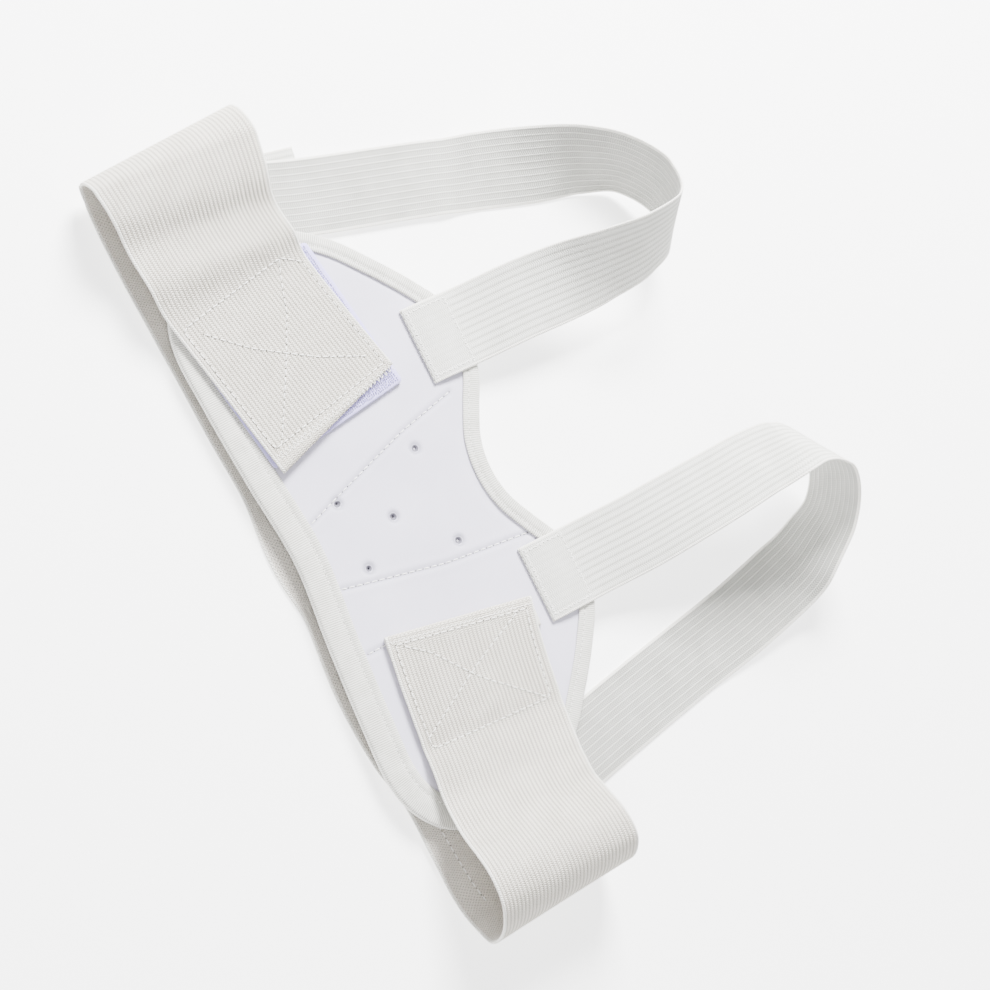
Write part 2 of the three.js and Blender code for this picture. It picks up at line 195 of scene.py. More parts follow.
class SmoothRows:
    """A smooth curve through rows of numbers, the first three of which are its place."""

    def __init__(self, rows: Sequence[Sequence[float]], closed: bool) -> None:
        """Works out the knots and slopes.

        Args:
            rows: The rows that the curve goes through.
            closed: Whether the last row runs on to the first.
        """
        self.rows = np.array(rows, float)
        self.closed = closed
        count = len(self.rows)
        self.spans = count if closed else count - 1
        ahead = np.roll(self.rows, -1, axis=0) - self.rows
        self.knots = np.sqrt(np.linalg.norm(ahead[:, :3], axis=1))
        self.knots[self.knots == 0] = 1
        self.slopes = np.array([self._slope(i) for i in range(count)])

    def _slope(self, i: int) -> np.ndarray:
        """Slope of the curve at a row, flat wherever a neighbour is level with it.

        Args:
            i: The row.

        Returns:
            One slope a column.
        """
        rows, knots, last = self.rows, self.knots, len(self.rows) - 1
        if not self.closed and i == 0:
            return (rows[1] - rows[0]) / knots[0]
        if not self.closed and i == last:
            return (rows[last] - rows[last - 1]) / knots[last - 1]
        a, b, c = rows[i - 1], rows[i], rows[(i + 1) % len(rows)]
        before, after = knots[i - 1], knots[i]
        bend = (b - a) / before - (c - a) / (before + after) + (c - b) / after
        return np.where((a == b) | (b == c), 0, bend)

    def at(self, i: int, share: float) -> np.ndarray:
        """Numbers on the curve.

        Args:
            i: The span.
            share: How far along the span.

        Returns:
            One number a column.
        """
        j = (i + 1) % len(self.rows)
        ease = share * share * (3 - 2 * share)
        leave = self.slopes[i] * self.knots[i] * share * (1 - share) ** 2
        arrive = self.slopes[j] * self.knots[i] * share * share * (1 - share)
        return mix(self.rows[i], self.rows[j], ease) + leave - arrive


@dataclass
class Run:
    """Cross-sections of a strip along its length: place, directions, width and skew."""

    middle: np.ndarray
    across: np.ndarray
    through: np.ndarray
    width: np.ndarray
    skew: np.ndarray

    @property
    def along(self) -> np.ndarray:
        """Distance of each section from the strip's start."""
        steps = np.linalg.norm(np.diff(self.middle, axis=0), axis=1)
        return np.concatenate([[0], np.cumsum(steps)])

    @property
    def length(self) -> float:
        """Length of the strip."""
        return float(self.along[-1])

    def place(self, along: np.ndarray, share: np.ndarray, up: np.ndarray) -> np.ndarray:
        """Points on the strip.

        Args:
            along: Distances from the strip's start.
            share: Places across, in shares of the width from the middle.
            up: Heights above the strip's middle, along its normal.

        Returns:
            One point a row.
        """
        known = self.along

        def pick(table: np.ndarray) -> np.ndarray:
            """Values of a table of vectors at the wanted distances."""
            return np.stack([np.interp(along, known, column) for column in table.T], axis=-1)

        side = np.asarray(share)[:, None] * pick(self.width[:, None])
        lifted = np.asarray(up)[:, None] * pick(self.through)
        return pick(self.middle) + side * pick(self.across) + lifted


@dataclass(frozen=True)
class StripPath:
    """Samples a strip's table of rows: x, y, height of the low rim, turn, lean, width."""

    rows: tuple[tuple[float, ...], ...]
    step: float
    sharpest: float = 7.0

    def _point(self, curve: SmoothRows, i: int, share: float) -> np.ndarray:
        """Middle of the strip, by its low rim and its lean."""
        x, y, low, _, lean, width = curve.at(i, share)
        return np.array([x, y, low + math.sin(math.radians(lean)) * width / 2])

    def _heading(self, curve: SmoothRows, i: int, share: float) -> np.ndarray:
        """Direction in which the strip runs.

        Args:
            curve: The curve through the rows.
            i: The span.
            share: How far along the span.

        Returns:
            The unit direction.
        """
        ahead = self._point(curve, i, min(share + TINY_SHARE, 1))
        behind = self._point(curve, i, max(share - TINY_SHARE, 0))
        return (ahead - behind) / np.linalg.norm(ahead - behind)

    def run(self) -> Run:
        """Cross-sections at steps that suit the strip's bends.

        Returns:
            The run of sections.
        """
        curve = SmoothRows(self.rows, closed=False)
        found: list[tuple[np.ndarray, np.ndarray, np.ndarray, float]] = []
        for i in range(curve.spans):
            length = np.linalg.norm(self._point(curve, i, 1) - self._point(curve, i, 0))
            cosine = float(np.dot(self._heading(curve, i, 0), self._heading(curve, i, 1)))
            bend = math.degrees(math.acos(max(-1.0, min(1.0, cosine))))
            steps = max(1, math.ceil(length / self.step), math.ceil(bend / self.sharpest))
            final = steps if i == curve.spans - 1 else steps - 1
            found += [self._section(curve, i, step / steps) for step in range(final + 1)]
        middle, across, through, width = (np.array(part) for part in zip(*found))
        return Run(middle, across, through, width, np.zeros(len(width)))

    def _section(self, curve: SmoothRows, i: int, share: float) -> tuple:
        """One cross-section of the strip.

        A strip without lean keeps its width level where it runs straight up or down.

        Args:
            curve: The curve through the rows.
            i: The span.
            share: How far along the span.

        Returns:
            Middle, direction across, direction through and width.
        """
        x, y, low, turn, lean, width = curve.at(i, share)
        along = self._heading(curve, i, share)
        turned, tipped = math.radians(turn), math.radians(lean)
        flat = math.cos(tipped)
        across = np.array([flat * math.cos(turned), flat * math.sin(turned), math.sin(tipped)])
        squared = 1 - along[2] ** 2 if lean == 0 else 1
        across -= along * np.dot(across, along) * squared
        across /= np.linalg.norm(across)
        through = np.cross(across, along)
        middle = np.array([x, y, low + abs(across[2]) * width / 2])
        return middle, across, through / np.linalg.norm(through), width


@dataclass(frozen=True)
class TurnBack:
    """An end of a strip that is folded under itself and runs back."""

    radius: float
    length: float
    swing: float
    fold_steps: int = 14
    run_step: float = 2.4

    def add(self, run: Run) -> Run:
        """Adds the fold and the run back.

        Args:
            run: The strip up to the fold.

        Returns:
            The strip with its end turned back.
        """
        across, through = run.across[-1], run.through[-1]
        along = np.cross(through, across)
        down = np.array([0.0, 0.0, -1.0])
        angles = math.pi * np.arange(1, self.fold_steps + 1)[:, None] / self.fold_steps
        bent = run.middle[-1] + along * self.radius * np.sin(angles)
        bent = bent + down * self.radius * (1 - np.cos(angles))
        bent_through = through * np.cos(angles) + along * np.sin(angles)
        spin = np.array(Matrix.Rotation(math.radians(self.swing), 3, "Z"))
        steps = math.ceil(self.length / self.run_step)
        shares = np.arange(1, steps + 1)[:, None] / steps
        straight = bent[-1] + spin @ -along * self.length * shares
        swung = mix(across, spin @ across, shares)
        swung /= np.linalg.norm(swung, axis=1)[:, None]
        added = len(bent) + len(straight)
        held = np.repeat(bent_through[-1:], steps, axis=0)
        return Run(
            np.concatenate([run.middle, bent, straight]),
            np.concatenate([run.across, np.repeat([across], len(bent), axis=0), swung]),
            np.concatenate([run.through, bent_through, held]),
            np.concatenate([run.width, np.full(added, run.width[-1])]),
            np.concatenate([run.skew, np.zeros(added)]),
        )


@dataclass(frozen=True)
class Bench:
    """Where the panel's own frame lies in the library's frame."""

    x: float
    y: float

    def metres(self, points: np.ndarray) -> np.ndarray:
        """Points in metres in the library's frame."""
        return (np.asarray(points) + np.array([self.x, self.y, 0.0])) * MM


def ring_faces(rings: int, size: int, closed: bool) -> np.ndarray:
    """Quads between neighbouring rings of points.

    Args:
        rings: Number of rings.
        size: Points in a ring.
        closed: Whether the last ring joins the first.

    Returns:
        Four corners a row, ring by ring.
    """
    ring = np.arange(rings if closed else rings - 1)[:, None]
    point = np.arange(size)[None, :]
    beside = (point + 1) % size
    ahead = (ring + 1) % rings
    order = ((ring, point), (ring, beside), (ahead, beside), (ahead, point))
    corners = [row * size + spot for row, spot in order]
    return np.stack(np.broadcast_arrays(*corners), axis=-1).reshape(-1, 4)


def end_faces(lanes: int, start: int) -> list[tuple[int, ...]]:
    """Faces that close one end of a strip.

    Args:
        lanes: Number of points across the strip's face.
        start: First point of the ring at that end.

    Returns:
        The corners of each face.
    """
    size = 2 * lanes - 2
    faces: list[tuple[int, ...]] = []
    for k in range(lanes - 1):
        under, beside = (size - k) % size, (size - k - 1) % size
        corners = dict.fromkeys((start + k, start + k + 1, start + beside, start + under))
        faces.append(tuple(corners))
    return faces


def repeated(faces: Sequence[Sequence[int]], size: int, count: int) -> list[tuple[int, ...]]:
    """Faces of a shape that is repeated.

    Args:
        faces: Faces of the first shape.
        size: Its number of points.
        count: How many there are.

    Returns:
        The corners of each face.
    """
    return [tuple(k + size * i for k in face) for i in range(count) for face in faces]


def attach(piece: bpy.types.Object, node: str = "") -> None:
    """Lets a piece ride on the belt and hides the solid that it stands for.

    Args:
        piece: The piece.
        node: The CAD node that the piece replaces, if any.
    """
    if node:
        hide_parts(node)
    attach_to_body(piece, BODY)


@dataclass
class MeshPlan:
    """Points and faces of a piece before they become a mesh.

    weave holds each point's place on the flat cloth, slots each face's material, and ribbed the
    share of its relief that each point keeps; on the panel, one less its share of painted shade.
    """

    points: np.ndarray
    faces: list[tuple[int, ...]]
    weave: np.ndarray
    slots: np.ndarray
    ribbed: np.ndarray | None = None

    def build(
        self, name: str, bench: Bench, finishes: Sequence[bpy.types.Material]
    ) -> bpy.types.Object:
        """Makes the piece, closed and with its faces outwards.

        Args:
            name: The piece's name.
            bench: Where the panel's frame lies.
            finishes: Materials by slot.

        Returns:
            The new object, in the scene.
        """
        mesh = bpy.data.meshes.new(name)
        mesh.from_pydata(bench.metres(self.points).tolist(), [], self.faces)
        layer = mesh.uv_layers.new(name=WEAVE_UV)
        corner = np.zeros(len(mesh.loops), dtype=np.int32)
        mesh.loops.foreach_get("vertex_index", corner)
        layer.data.foreach_set("uv", (self.weave[corner] * MM).astype(np.float32).ravel())
        mesh.polygons.foreach_set("material_index", self.slots.astype(np.int32))
        if self.ribbed is not None:
            calm_and_painted_shade = mesh.attributes.new(CALM_AND_PAINTED_SHADE, "FLOAT", "POINT")
            calm_and_painted_shade.data.foreach_set("value", (1 - self.ribbed).astype(np.float32))
        mesh.polygons.foreach_set("use_smooth", np.ones(len(self.faces), dtype=bool))
        for finish in finishes:
            mesh.materials.append(finish)
        shell = bmesh.new()
        shell.from_mesh(mesh)
        bmesh.ops.recalc_face_normals(shell, faces=shell.faces)
        shell.to_mesh(mesh)
        shell.free()
        piece = bpy.data.objects.new(name, mesh)
        bpy.context.scene.collection.objects.link(piece)
        return piece


# Where a selvedge's face has points, in shares of its width from the rim
SELVEDGE_SHARES = (0, 0.12, 0.4, 0.75)


@dataclass(frozen=True)
class Ribs:
    """Lengthwise ribs of an elastic, with a smooth selvedge at each rim."""

    width: float
    thickness: float
    count: int
    selvedge: float
    shares: tuple[float, ...]
    groove: float
    narrow: float
    inner_line: float

    @property
    def pitch(self) -> float:
        """Distance from rib to rib."""
        return (self.width - 2 * self.selvedge) / self.count

    def lanes(self) -> np.ndarray:
        """Places across the strip at which its face has points.

        Returns:
            The places from rim to rim.
        """
        start = -self.width / 2 + self.selvedge
        ribs = [start + self.pitch * (k + s) for k in range(self.count) for s in self.shares]
        edge = self.width / 2 - self.selvedge * np.array(SELVEDGE_SHARES)
        return np.unique(np.concatenate([-edge, ribs, edge, [-start]]).round(6))

    def _rounding(self, lanes: np.ndarray) -> np.ndarray:
        """Share of the height left near the rims, which are round."""
        left = np.clip((self.width / 2 - np.abs(lanes)) / (self.thickness / 2), 0, 1)
        return np.sqrt(1 - np.square(1 - left))

    def _lines(self, lanes: np.ndarray) -> np.ndarray:
        """How near each lane is to a line between two ribs.

        Args:
            lanes: Places across the strip.

        Returns:
            1 on a line, falling to 0 beside it and on the selvedges.
        """
        place = (lanes + self.width / 2 - self.selvedge) / self.pitch
        away = np.abs(place - np.round(place)) * self.pitch
        inside = np.abs(lanes) < self.width / 2 - self.selvedge + TINY_SHARE
        return bell(away, self.narrow) * inside

    def outer(self, lanes: np.ndarray) -> np.ndarray:
        """Height of the outer face above the strip's middle: ribs between narrow grooves."""
        return (self.thickness / 2 - self.groove * self._lines(lanes)) * self._rounding(lanes)

    def inner(self, lanes: np.ndarray) -> np.ndarray:
        """Depth of the inner face below the strip's middle: narrow raised lines."""
        sunk = self.inner_line * (1 - self._lines(lanes))
        return (self.thickness / 2 - sunk) * self._rounding(lanes)

    def plan(self, run: Run, outer_up: bool, ribbed: np.ndarray, swell: Callable) -> MeshPlan:
        """Lays the ribbed strip along its sections.

        Args:
            run: The strip's sections.
            outer_up: Whether the outer face is on the side of the sections' normal.
            ribbed: Share of the rib relief that each section has.
            swell: Height that the cloth rises by, from the distance along and the place across.

        Returns:
            The strip's points and faces. Slot 0 is the outer face and slot 1 the inner.
        """
        lanes = self.lanes()
        inward = lanes[-2:0:-1]
        top, low = (self.outer, self.inner) if outer_up else (self.inner, self.outer)
        place = np.concatenate([lanes, inward])
        rise = np.concatenate([top(lanes), -low(inward)])
        share = place / self.width
        rings, size = len(run.width), len(place)
        along = np.cross(run.through, run.across)
        across = share[None, :, None] * run.width[:, None, None]
        slide = across * np.tan(np.radians(run.skew))[:, None, None]
        points = run.middle[:, None] + across * run.across[:, None] + slide * along[:, None]
        even = np.sign(rise) * self._rounding(place) * self.thickness / 2
        raised = mix(even[None, :], rise[None, :], ribbed[:, None])
        points = points + raised[..., None] * run.through[:, None]
        points[..., 2] += swell(run.along[:, None], place[None, :])
        weave = np.empty((rings, size, 2))
        weave[:, :, 0] = run.along[:, None] + slide[:, :, 0]
        weave[:, :, 1] = place[None, :]
        faces = ring_faces(rings, size, closed=False)
        tops = np.tile(np.arange(size) < len(lanes) - 1, rings - 1)
        slots = np.where(tops == outer_up, 0, 1)
        ends = end_faces(len(lanes), 0) + end_faces(len(lanes), (rings - 1) * size)
        return MeshPlan(
            points.reshape(-1, 3),
            [tuple(face) for face in faces.tolist()] + ends,
            weave.reshape(-1, 2),
            np.concatenate([slots, np.ones(len(ends))]),
            np.repeat(ribbed, size),
        )


def feed(tree: bpy.types.NodeTree, socket: bpy.types.NodeSocket, source: object) -> None:
    """Links a socket to a value or to another socket, or sets it.

    Args:
        tree: The material's nodes.
        socket: The socket to feed.
        source: A value, a socket, a plain number or a colour.
    """
    source = source.socket if isinstance(source, Value) else source
    if isinstance(source, bpy.types.NodeSocket):
        tree.links.new(source, socket)
    else:
        socket.default_value = source


class Value:
    """A number at each point of a surface, so that a pattern is written as plain arithmetic."""

    def __init__(self, tree: bpy.types.NodeTree, socket: bpy.types.NodeSocket) -> None:
        """Keeps the socket that gives the number."""
        self.tree = tree
        self.socket = socket

    def use(self, operation: str, *others: object) -> "Value":
        """Puts this number and others through a Math node.

        Args:
            operation: The node's operation.
            others: Plain numbers or other values.

        Returns:
            The result.
        """
        node = self.tree.nodes.new("ShaderNodeMath")
        node.operation = operation
        for socket, source in zip(node.inputs, (self, *others)):
            feed(self.tree, socket, source)
        return Value(self.tree, node.outputs["Value"])

    def __add__(self, other: object) -> "Value":
        """Sum with a number or value."""
        return self.use("ADD", other)

    def __sub__(self, other: object) -> "Value":
        """Difference from a number or value."""
        return self.use("SUBTRACT", other)

    def __rsub__(self, number: float) -> "Value":
        """What this leaves of a plain number."""
        return self.use("MULTIPLY_ADD", -1.0, number)

    def __mul__(self, other: object) -> "Value":
        """Product with a number or value."""
        return self.use("MULTIPLY", other)

    def __truediv__(self, number: float) -> "Value":
        """Quotient by a number."""
        return self.use("DIVIDE", number)

    def __pow__(self, number: float) -> "Value":
        """Power of what is above 0."""
        return self.use("MAXIMUM", 0.0).use("POWER", number)

    def __abs__(self) -> "Value":
        """Absolute value."""
        return self.use("ABSOLUTE")

    def kept(self, low: float, high: float) -> "Value":
        """The number, kept between two others."""
        return self.use("MAXIMUM", low).use("MINIMUM", high)


class Graph:
    """Writes the nodes of one material."""

    def __init__(self, name: str) -> None:
        """Starts a material with a plain shader.

        Args:
            name: The material's name.
        """
        self.material = bpy.data.materials.new(name)
        self.material.use_nodes = True
        self.tree = self.material.node_tree
        self.tree.nodes.clear()
        self.shader = self.node("ShaderNodeBsdfPrincipled")
        self.node("ShaderNodeOutputMaterial", Surface=self.shader.outputs["BSDF"])

    def node(self, kind: str, **inputs: object) -> bpy.types.Node:
        """Adds a node.

        Args:
            kind: The node's type.
            inputs: What feeds its sockets, by their names.

        Returns:
            The node.
        """
        node = self.tree.nodes.new(kind)
        for name, source in inputs.items():
            feed(self.tree, node.inputs[name], source)
        return node

    def split(self, vector: bpy.types.NodeSocket) -> tuple[Value, Value]:
        """First two parts of a vector."""
        outputs = self.node("ShaderNodeSeparateXYZ", Vector=vector).outputs
        return Value(self.tree, outputs["X"]), Value(self.tree, outputs["Y"])

    def weave(self) -> bpy.types.NodeSocket:
        """Reads the piece's own weave coordinates, the way along and the way across.

        Returns:
            Their socket.
        """
        node = self.node("ShaderNodeUVMap")
        node.uv_map = WEAVE_UV
        return node.outputs["UV"]

    def object_place(self) -> bpy.types.NodeSocket:
        """Object coordinates."""
        return self.node("ShaderNodeTexCoord").outputs["Object"]

    def calm_and_painted_shade(self) -> Value:
        """Reads how far the knit is flattened, and on the panel the share of painted shade.

        Returns:
            1 where the knit is flattened or the panel fully painted with shade, and 0 elsewhere.
        """
        node = self.node("ShaderNodeAttribute")
        node.attribute_name = CALM_AND_PAINTED_SHADE
        return Value(self.tree, node.outputs["Fac"])

    def noise(self, place: bpy.types.NodeSocket, scale: float, detail: float = 2.0) -> Value:
        """Noise at a place, of a scale per metre."""
        node = self.node("ShaderNodeTexNoise", Vector=place, Scale=scale, Detail=detail)
        return Value(self.tree, node.outputs["Fac"])

    def wave(self, way: Value, pitch: float) -> Value:
        """Cosine wave along a way, of a pitch in millimetres."""
        return (way * (math.tau / (pitch * MM))).use("COSINE")

    def between(self, share: Value, first: object, second: object) -> bpy.types.NodeSocket:
        """Mixes two colours.

        Args:
            share: Share of the way from the first to the second.
            first: A colour or its socket.
            second: A colour or its socket.

        Returns:
            The mixed colour's socket.
        """
        node = self.tree.nodes.new("ShaderNodeMix")
        node.data_type = "RGBA"
        for index, source in ((0, share), (6, first), (7, second)):
            feed(self.tree, node.inputs[index], source)
        return node.outputs[2]

    def finish(
        self, colour: object, height: Value, depth: float, roughness: float, sheen: float
    ) -> bpy.types.Material:
        """Ends the material as a cloth.

        Args:
            colour: Base colour.
            height: Height of the fine relief.
            depth: What a height of 1 stands for, in millimetres.
            roughness: Roughness of the surface.
            sheen: Weight of the fuzz on it.

        Returns:
            The material.
        """
        bump = self.node("ShaderNodeBump", Strength=1.0, Distance=depth * MM, Height=height)
        for name, source in (
            ("Base Color", colour),
            ("Normal", bump.outputs["Normal"]),
            ("Roughness", roughness),
            ("Sheen Weight", sheen),
            ("Sheen Roughness", 0.5),
            ("Specular IOR Level", 0.25),
        ):
            feed(self.tree, self.shader.inputs[name], source)
        return self.material


@dataclass(frozen=True)
class ElasticFinish:
    """Knitted elastic: ribs of small V stitches, with rows of pinholes in the grooves; the grooves
    and pinholes are darkened with painted shade.
    """

    name: str
    ribs: Ribs
    weave: Weave
    light: Colour
    shade: Colour
    # Dark colour of the knit's pinholes: painted shade in the holes
    pinhole: Colour
    stitch: float
    relief: float
    dots: float
    chevrons: float
    sheen: float = 0.25
    selvedge: Colour = (232, 230, 223)
    fuzz: float = 1.1
    clouds: float = 0.45
    slant: float = 1.3
    calm_and_painted_shade_light: float = 0.62

    def _face(self, middle: Value) -> Value:
        """How light the face is across one rib: painted light on the rib and painted shade in its
        grooves, and on a lined face a bright line with a painted shadow beside it.

        Args:
            middle: Distance from the rib's middle line, 0.5 at its rims.

        Returns:
            The lightness, from 0 to 1.
        """
        if self.weave is Weave.RIBBED:
            return (1.0 - middle * 2.0) ** 0.5 * 0.85
        if self.weave is Weave.LINED:
            line = ((middle - 0.38) * 8.0).kept(0.0, 0.6)
            shadow = (1.0 - abs(middle - 0.33) * 14.0).kept(0.0, 1.0)
            return line + 0.42 - shadow * 0.3
        return 0.78 - middle * 0.25

    def dress(self) -> bpy.types.Material:
        """Writes the elastic's pattern.

        Returns:
            The material.
        """
        g = Graph(self.name)
        place = g.weave()
        along, across = g.split(place)
        inner = (self.ribs.width / 2 - self.ribs.selvedge) * MM
        honeycomb = self.weave is Weave.HONEYCOMB
        row_pitch = self.ribs.pitch / 2 if honeycomb else self.ribs.pitch
        rib = (across + inner) / (row_pitch * MM)
        middle = abs(rib.use("FRACT") - 0.5)
        odd = rib.use("FLOOR").use("MODULO", 2.0)
        turns = along / (self.stitch * MM)
        chevron = ((turns + middle * self.slant) * math.tau).use("SINE")
        spot = ((turns + odd * 0.5) * math.tau).use("COSINE") ** 1.5
        valley = 1.0 - middle * 2.0 if honeycomb else (middle * 2.0) ** 2.5
        pinhole = spot * valley * self.dots
        clouds = g.noise(place, 90.0, 3.0)
        fuzz = g.noise(place, 2300.0)
        face = self._face(middle)
        lit = face + (self.calm_and_painted_shade_light - face) * g.calm_and_painted_shade() + chevron * self.chevrons
        lit = lit + (clouds - 0.5) * self.clouds + (fuzz - 0.5) * self.fuzz
        # Painted light and shade of the relief: grooves darker and ribs lighter than the knit's own
        # colour, with its own clouds and fuzz
        colour = g.between(lit.kept(0.0, 1.0), linear(self.shade), linear(self.light))
        # Painted shade in the knit's pinholes
        colour = g.between(pinhole, colour, linear(self.pinhole))
        colour = g.between(abs(across).use("GREATER_THAN", inner), colour, linear(self.selvedge))
        height = chevron * 0.5 - pinhole * 1.5 + fuzz * 0.8
        return g.finish(colour, height, self.relief, 0.92, self.sheen)


@dataclass(frozen=True)
class TapeFinish:
    """Knit binding tape: fine ribs across it and rows along it."""

    name: str = "knit_tape"
    rib_pitch: float = 1.0
    row_pitch: float = 0.55
    light: Colour = (226, 225, 219)
    shade: Colour = (148, 147, 139)
    relief: float = 0.09

    def dress(self) -> bpy.types.Material:
        """Writes the tape's pattern.

        Returns:
            The material.
        """
        g = Graph(self.name)
        place = g.weave()
        along, across = g.split(place)
        ribs, rows = g.wave(along, self.rib_pitch), g.wave(across, self.row_pitch)
        fuzz, clouds = g.noise(place, 2200.0), g.noise(place, 120.0)
        # Painted shade in the grooves between the tape's ribs and rows, over its own fuzz and
        # clouds of tone
        lit = ribs * 0.42 + rows * 0.14 + (fuzz - 0.5) * 0.8 + (clouds - 0.5) * 0.5 + 0.62
        colour = g.between(lit.kept(0.0, 1.0), linear(self.shade), linear(self.light))
        return g.finish(colour, rows * 0.25 + fuzz * 0.7, self.relief, 0.88, 0.35)


@dataclass(frozen=True)
class LaminateFinish:
    """Smooth foam laminate with a faint satin weave, soft clouds of darker tone, and painted shade
    at its seams and holes.
    """

    name: str = "laminate"
    light: Colour = (214, 211, 226)
    shade: Colour = (192, 189, 205)
    # Colour of the painted shade along the seams and round the air holes
    painted_shade: Colour = (158, 156, 171)
    weave_pitch: float = 0.7
    relief: float = 0.02

    def dress(self) -> bpy.types.Material:
        """Writes the laminate's pattern.

        Returns:
            The material.
        """
        g = Graph(self.name)
        place = g.object_place()
        x, y = g.split(place)
        cloth = g.wave(x, self.weave_pitch) * g.wave(y, self.weave_pitch)
        clouds, grain = g.noise(place, 28.0, 3.0), g.noise(place, 1500.0)
        lit = clouds + (grain - 0.5) * 0.35 + cloth * 0.06
        colour = g.between(lit.kept(0.0, 1.0), linear(self.shade), linear(self.light))
        # Painted shade along the seams and round the air holes, where the mesh attribute marks it
        colour = g.between(g.calm_and_painted_shade(), colour, linear(self.painted_shade))
        return g.finish(colour, cloth * 0.3 + grain, self.relief, 0.62, 0.1)


@dataclass(frozen=True)
class PlainFinish:
    """A small cloth part of one colour with a fine grain, such as thread or hooks."""

    name: str
    light: Colour
    shade: Colour
    grain: float
    relief: float
    roughness: float = 0.8
    sheen: float = 0.2

    def dress(self) -> bpy.types.Material:
        """Writes the part's grain.

        Returns:
            The material.
        """
        g = Graph(self.name)
        grain = g.noise(g.object_place(), self.grain, 3.0)
        colour = g.between(grain, linear(self.shade), linear(self.light))
        return g.finish(colour, grain, self.relief, self.roughness, self.sheen)


@dataclass(frozen=True)
class Thread:
    """Sewing thread: one modelled stitch, repeated along the lines that are sewn."""

    finish: bpy.types.Material
    # Finish of the pinholes: dark, as painted shade in the needle holes
    pinhole: bpy.types.Material
    length: float = 2.1
    spacing: float = 2.7
    thickness: float = 0.5
    sag: float = 0.36
    hole_width: float = 0.62
    hole_depth: float = 0.12
    hole_lift: float = 0.04
    hole_sides: int = 6

    def _stitch(self) -> tuple[np.ndarray, list[tuple[int, ...]]]:
        """Models one stitch along X, its ends bent down into the cloth.

        Returns:
            Its points and faces.
        """
        bpy.ops.object.select_all(action="DESELECT")
        bpy.ops.mesh.primitive_uv_sphere_add(segments=8, ring_count=7, radius=0.5)
        stitch = bpy.context.active_object
        points = np.array([tuple(v.co) for v in stitch.data.vertices])[:, [2, 1, 0]]
        points = points * [self.length, self.thickness, self.thickness]
        points[:, 2] -= self.sag * np.square(points[:, 0] / (self.length / 2))
        faces = [tuple(reversed(p.vertices)) for p in stitch.data.polygons]
        bpy.data.objects.remove(stitch, do_unlink=True)
        return points, faces

    def _pinhole(self) -> tuple[np.ndarray, list[tuple[int, ...]]]:
        """Models one pinhole as a shallow cone.

        Returns:
            Its points and faces.
        """
        sides = self.hole_sides
        ring = np.linspace(0, math.tau, sides, endpoint=False)
        disc = np.stack([np.cos(ring), np.sin(ring), 0 * ring], axis=-1) * self.hole_width / 2
        cone = np.concatenate([disc, [[0, 0, -self.hole_depth]]])
        faces = [(k, (k + 1) % sides, sides) for k in range(sides)]
        return cone, faces + [tuple(range(sides - 1, -1, -1))]

    def sew(
        self, name: str, lines: Sequence[np.ndarray], bench: Bench
    ) -> list[bpy.types.Object]:
        """Sews stitches along lines, with a pinhole where the thread goes through, dark with
        painted shade.

        Args:
            name: Name of the stitching.
            lines: Each is the points of a line with the cloth's normal beside them, six a row.
            bench: Where the panel's frame lies.

        Returns:
            The stitches and, if the holes have a width, the pinholes.
        """
        stitch, stitch_faces = self._stitch()
        cone, cone_faces = self._pinhole()
        stitches, holes = [], []
        for line in lines:
            steps = np.linalg.norm(np.diff(line[:, :3], axis=0), axis=1)
            known = np.concatenate([[0], np.cumsum(steps)])
            count = max(1, round(known[-1] / self.spacing))
            spots = np.linspace(0, known[-1], count + 1)
            at = np.stack([np.interp(spots, known, column) for column in line.T], axis=-1)
            for start, end in zip(at[:-1], at[1:]):
                ahead = end[:3] - start[:3]
                ahead /= np.linalg.norm(ahead)
                up = (start[3:] + end[3:]) / 2
                side = np.cross(up, ahead)
                side /= np.linalg.norm(side)
                frame = np.stack([ahead, side, np.cross(ahead, side)])
                stitches.append((start[:3] + end[:3]) / 2 + stitch @ frame)
                holes.append(start[:3] + frame[2] * self.hole_lift + cone @ frame)
        # Each pinhole is a shallow dark cone: painted shade where the thread goes into the cloth
        parts = [("thread", stitches, stitch_faces, self.finish)]
        if self.hole_width > 0:
            parts.append(("pinholes", holes, cone_faces, self.pinhole))
        pieces = []
        for part, shapes, faces, finish in parts:
            points = np.concatenate(shapes)
            every = repeated(faces, len(shapes[0]), len(shapes))
            plan = MeshPlan(points, every, np.zeros((len(points), 2)), np.zeros(len(every)))
            pieces.append(plan.build(f"{name}_{part}", bench, [finish]))
            attach(pieces[-1])
        return pieces


def polyline(corners: Sequence[tuple[float, float]], step: float = 1.0) -> np.ndarray:
    """Fills straight lines between corners with points.

    Args:
        corners: The corners.
        step: About how far apart the points are.

    Returns:
        One point a row.
    """
    found = []
    for start, end in zip(corners[:-1], corners[1:]):
        count = max(1, math.ceil(math.dist(start, end) / step))
        share = np.arange(count)[:, None] / count
        found.append(mix(np.array(start), np.array(end), share))
    return np.concatenate([*found, [corners[-1]]])


def from_line(x: np.ndarray, y: np.ndarray, corners: Sequence[tuple[float, float]]) -> np.ndarray:
    """Measures how far points are from a line through corners.

    Args:
        x: The points' places along the belt.
        y: The points' places from waist to leg side.
        corners: The line's corners.

    Returns:
        The distances.
    """
    nearest = np.full(np.shape(x), np.inf)
    for start, end in zip(corners[:-1], corners[1:]):
        run = np.subtract(end, start)
        share = ((x - start[0]) * run[0] + (y - start[1]) * run[1]) / np.dot(run, run)
        share = np.clip(share, 0, 1)
        away = np.hypot(x - start[0] - share * run[0], y - start[1] - share * run[1])
        nearest = np.minimum(nearest, away)
    return nearest


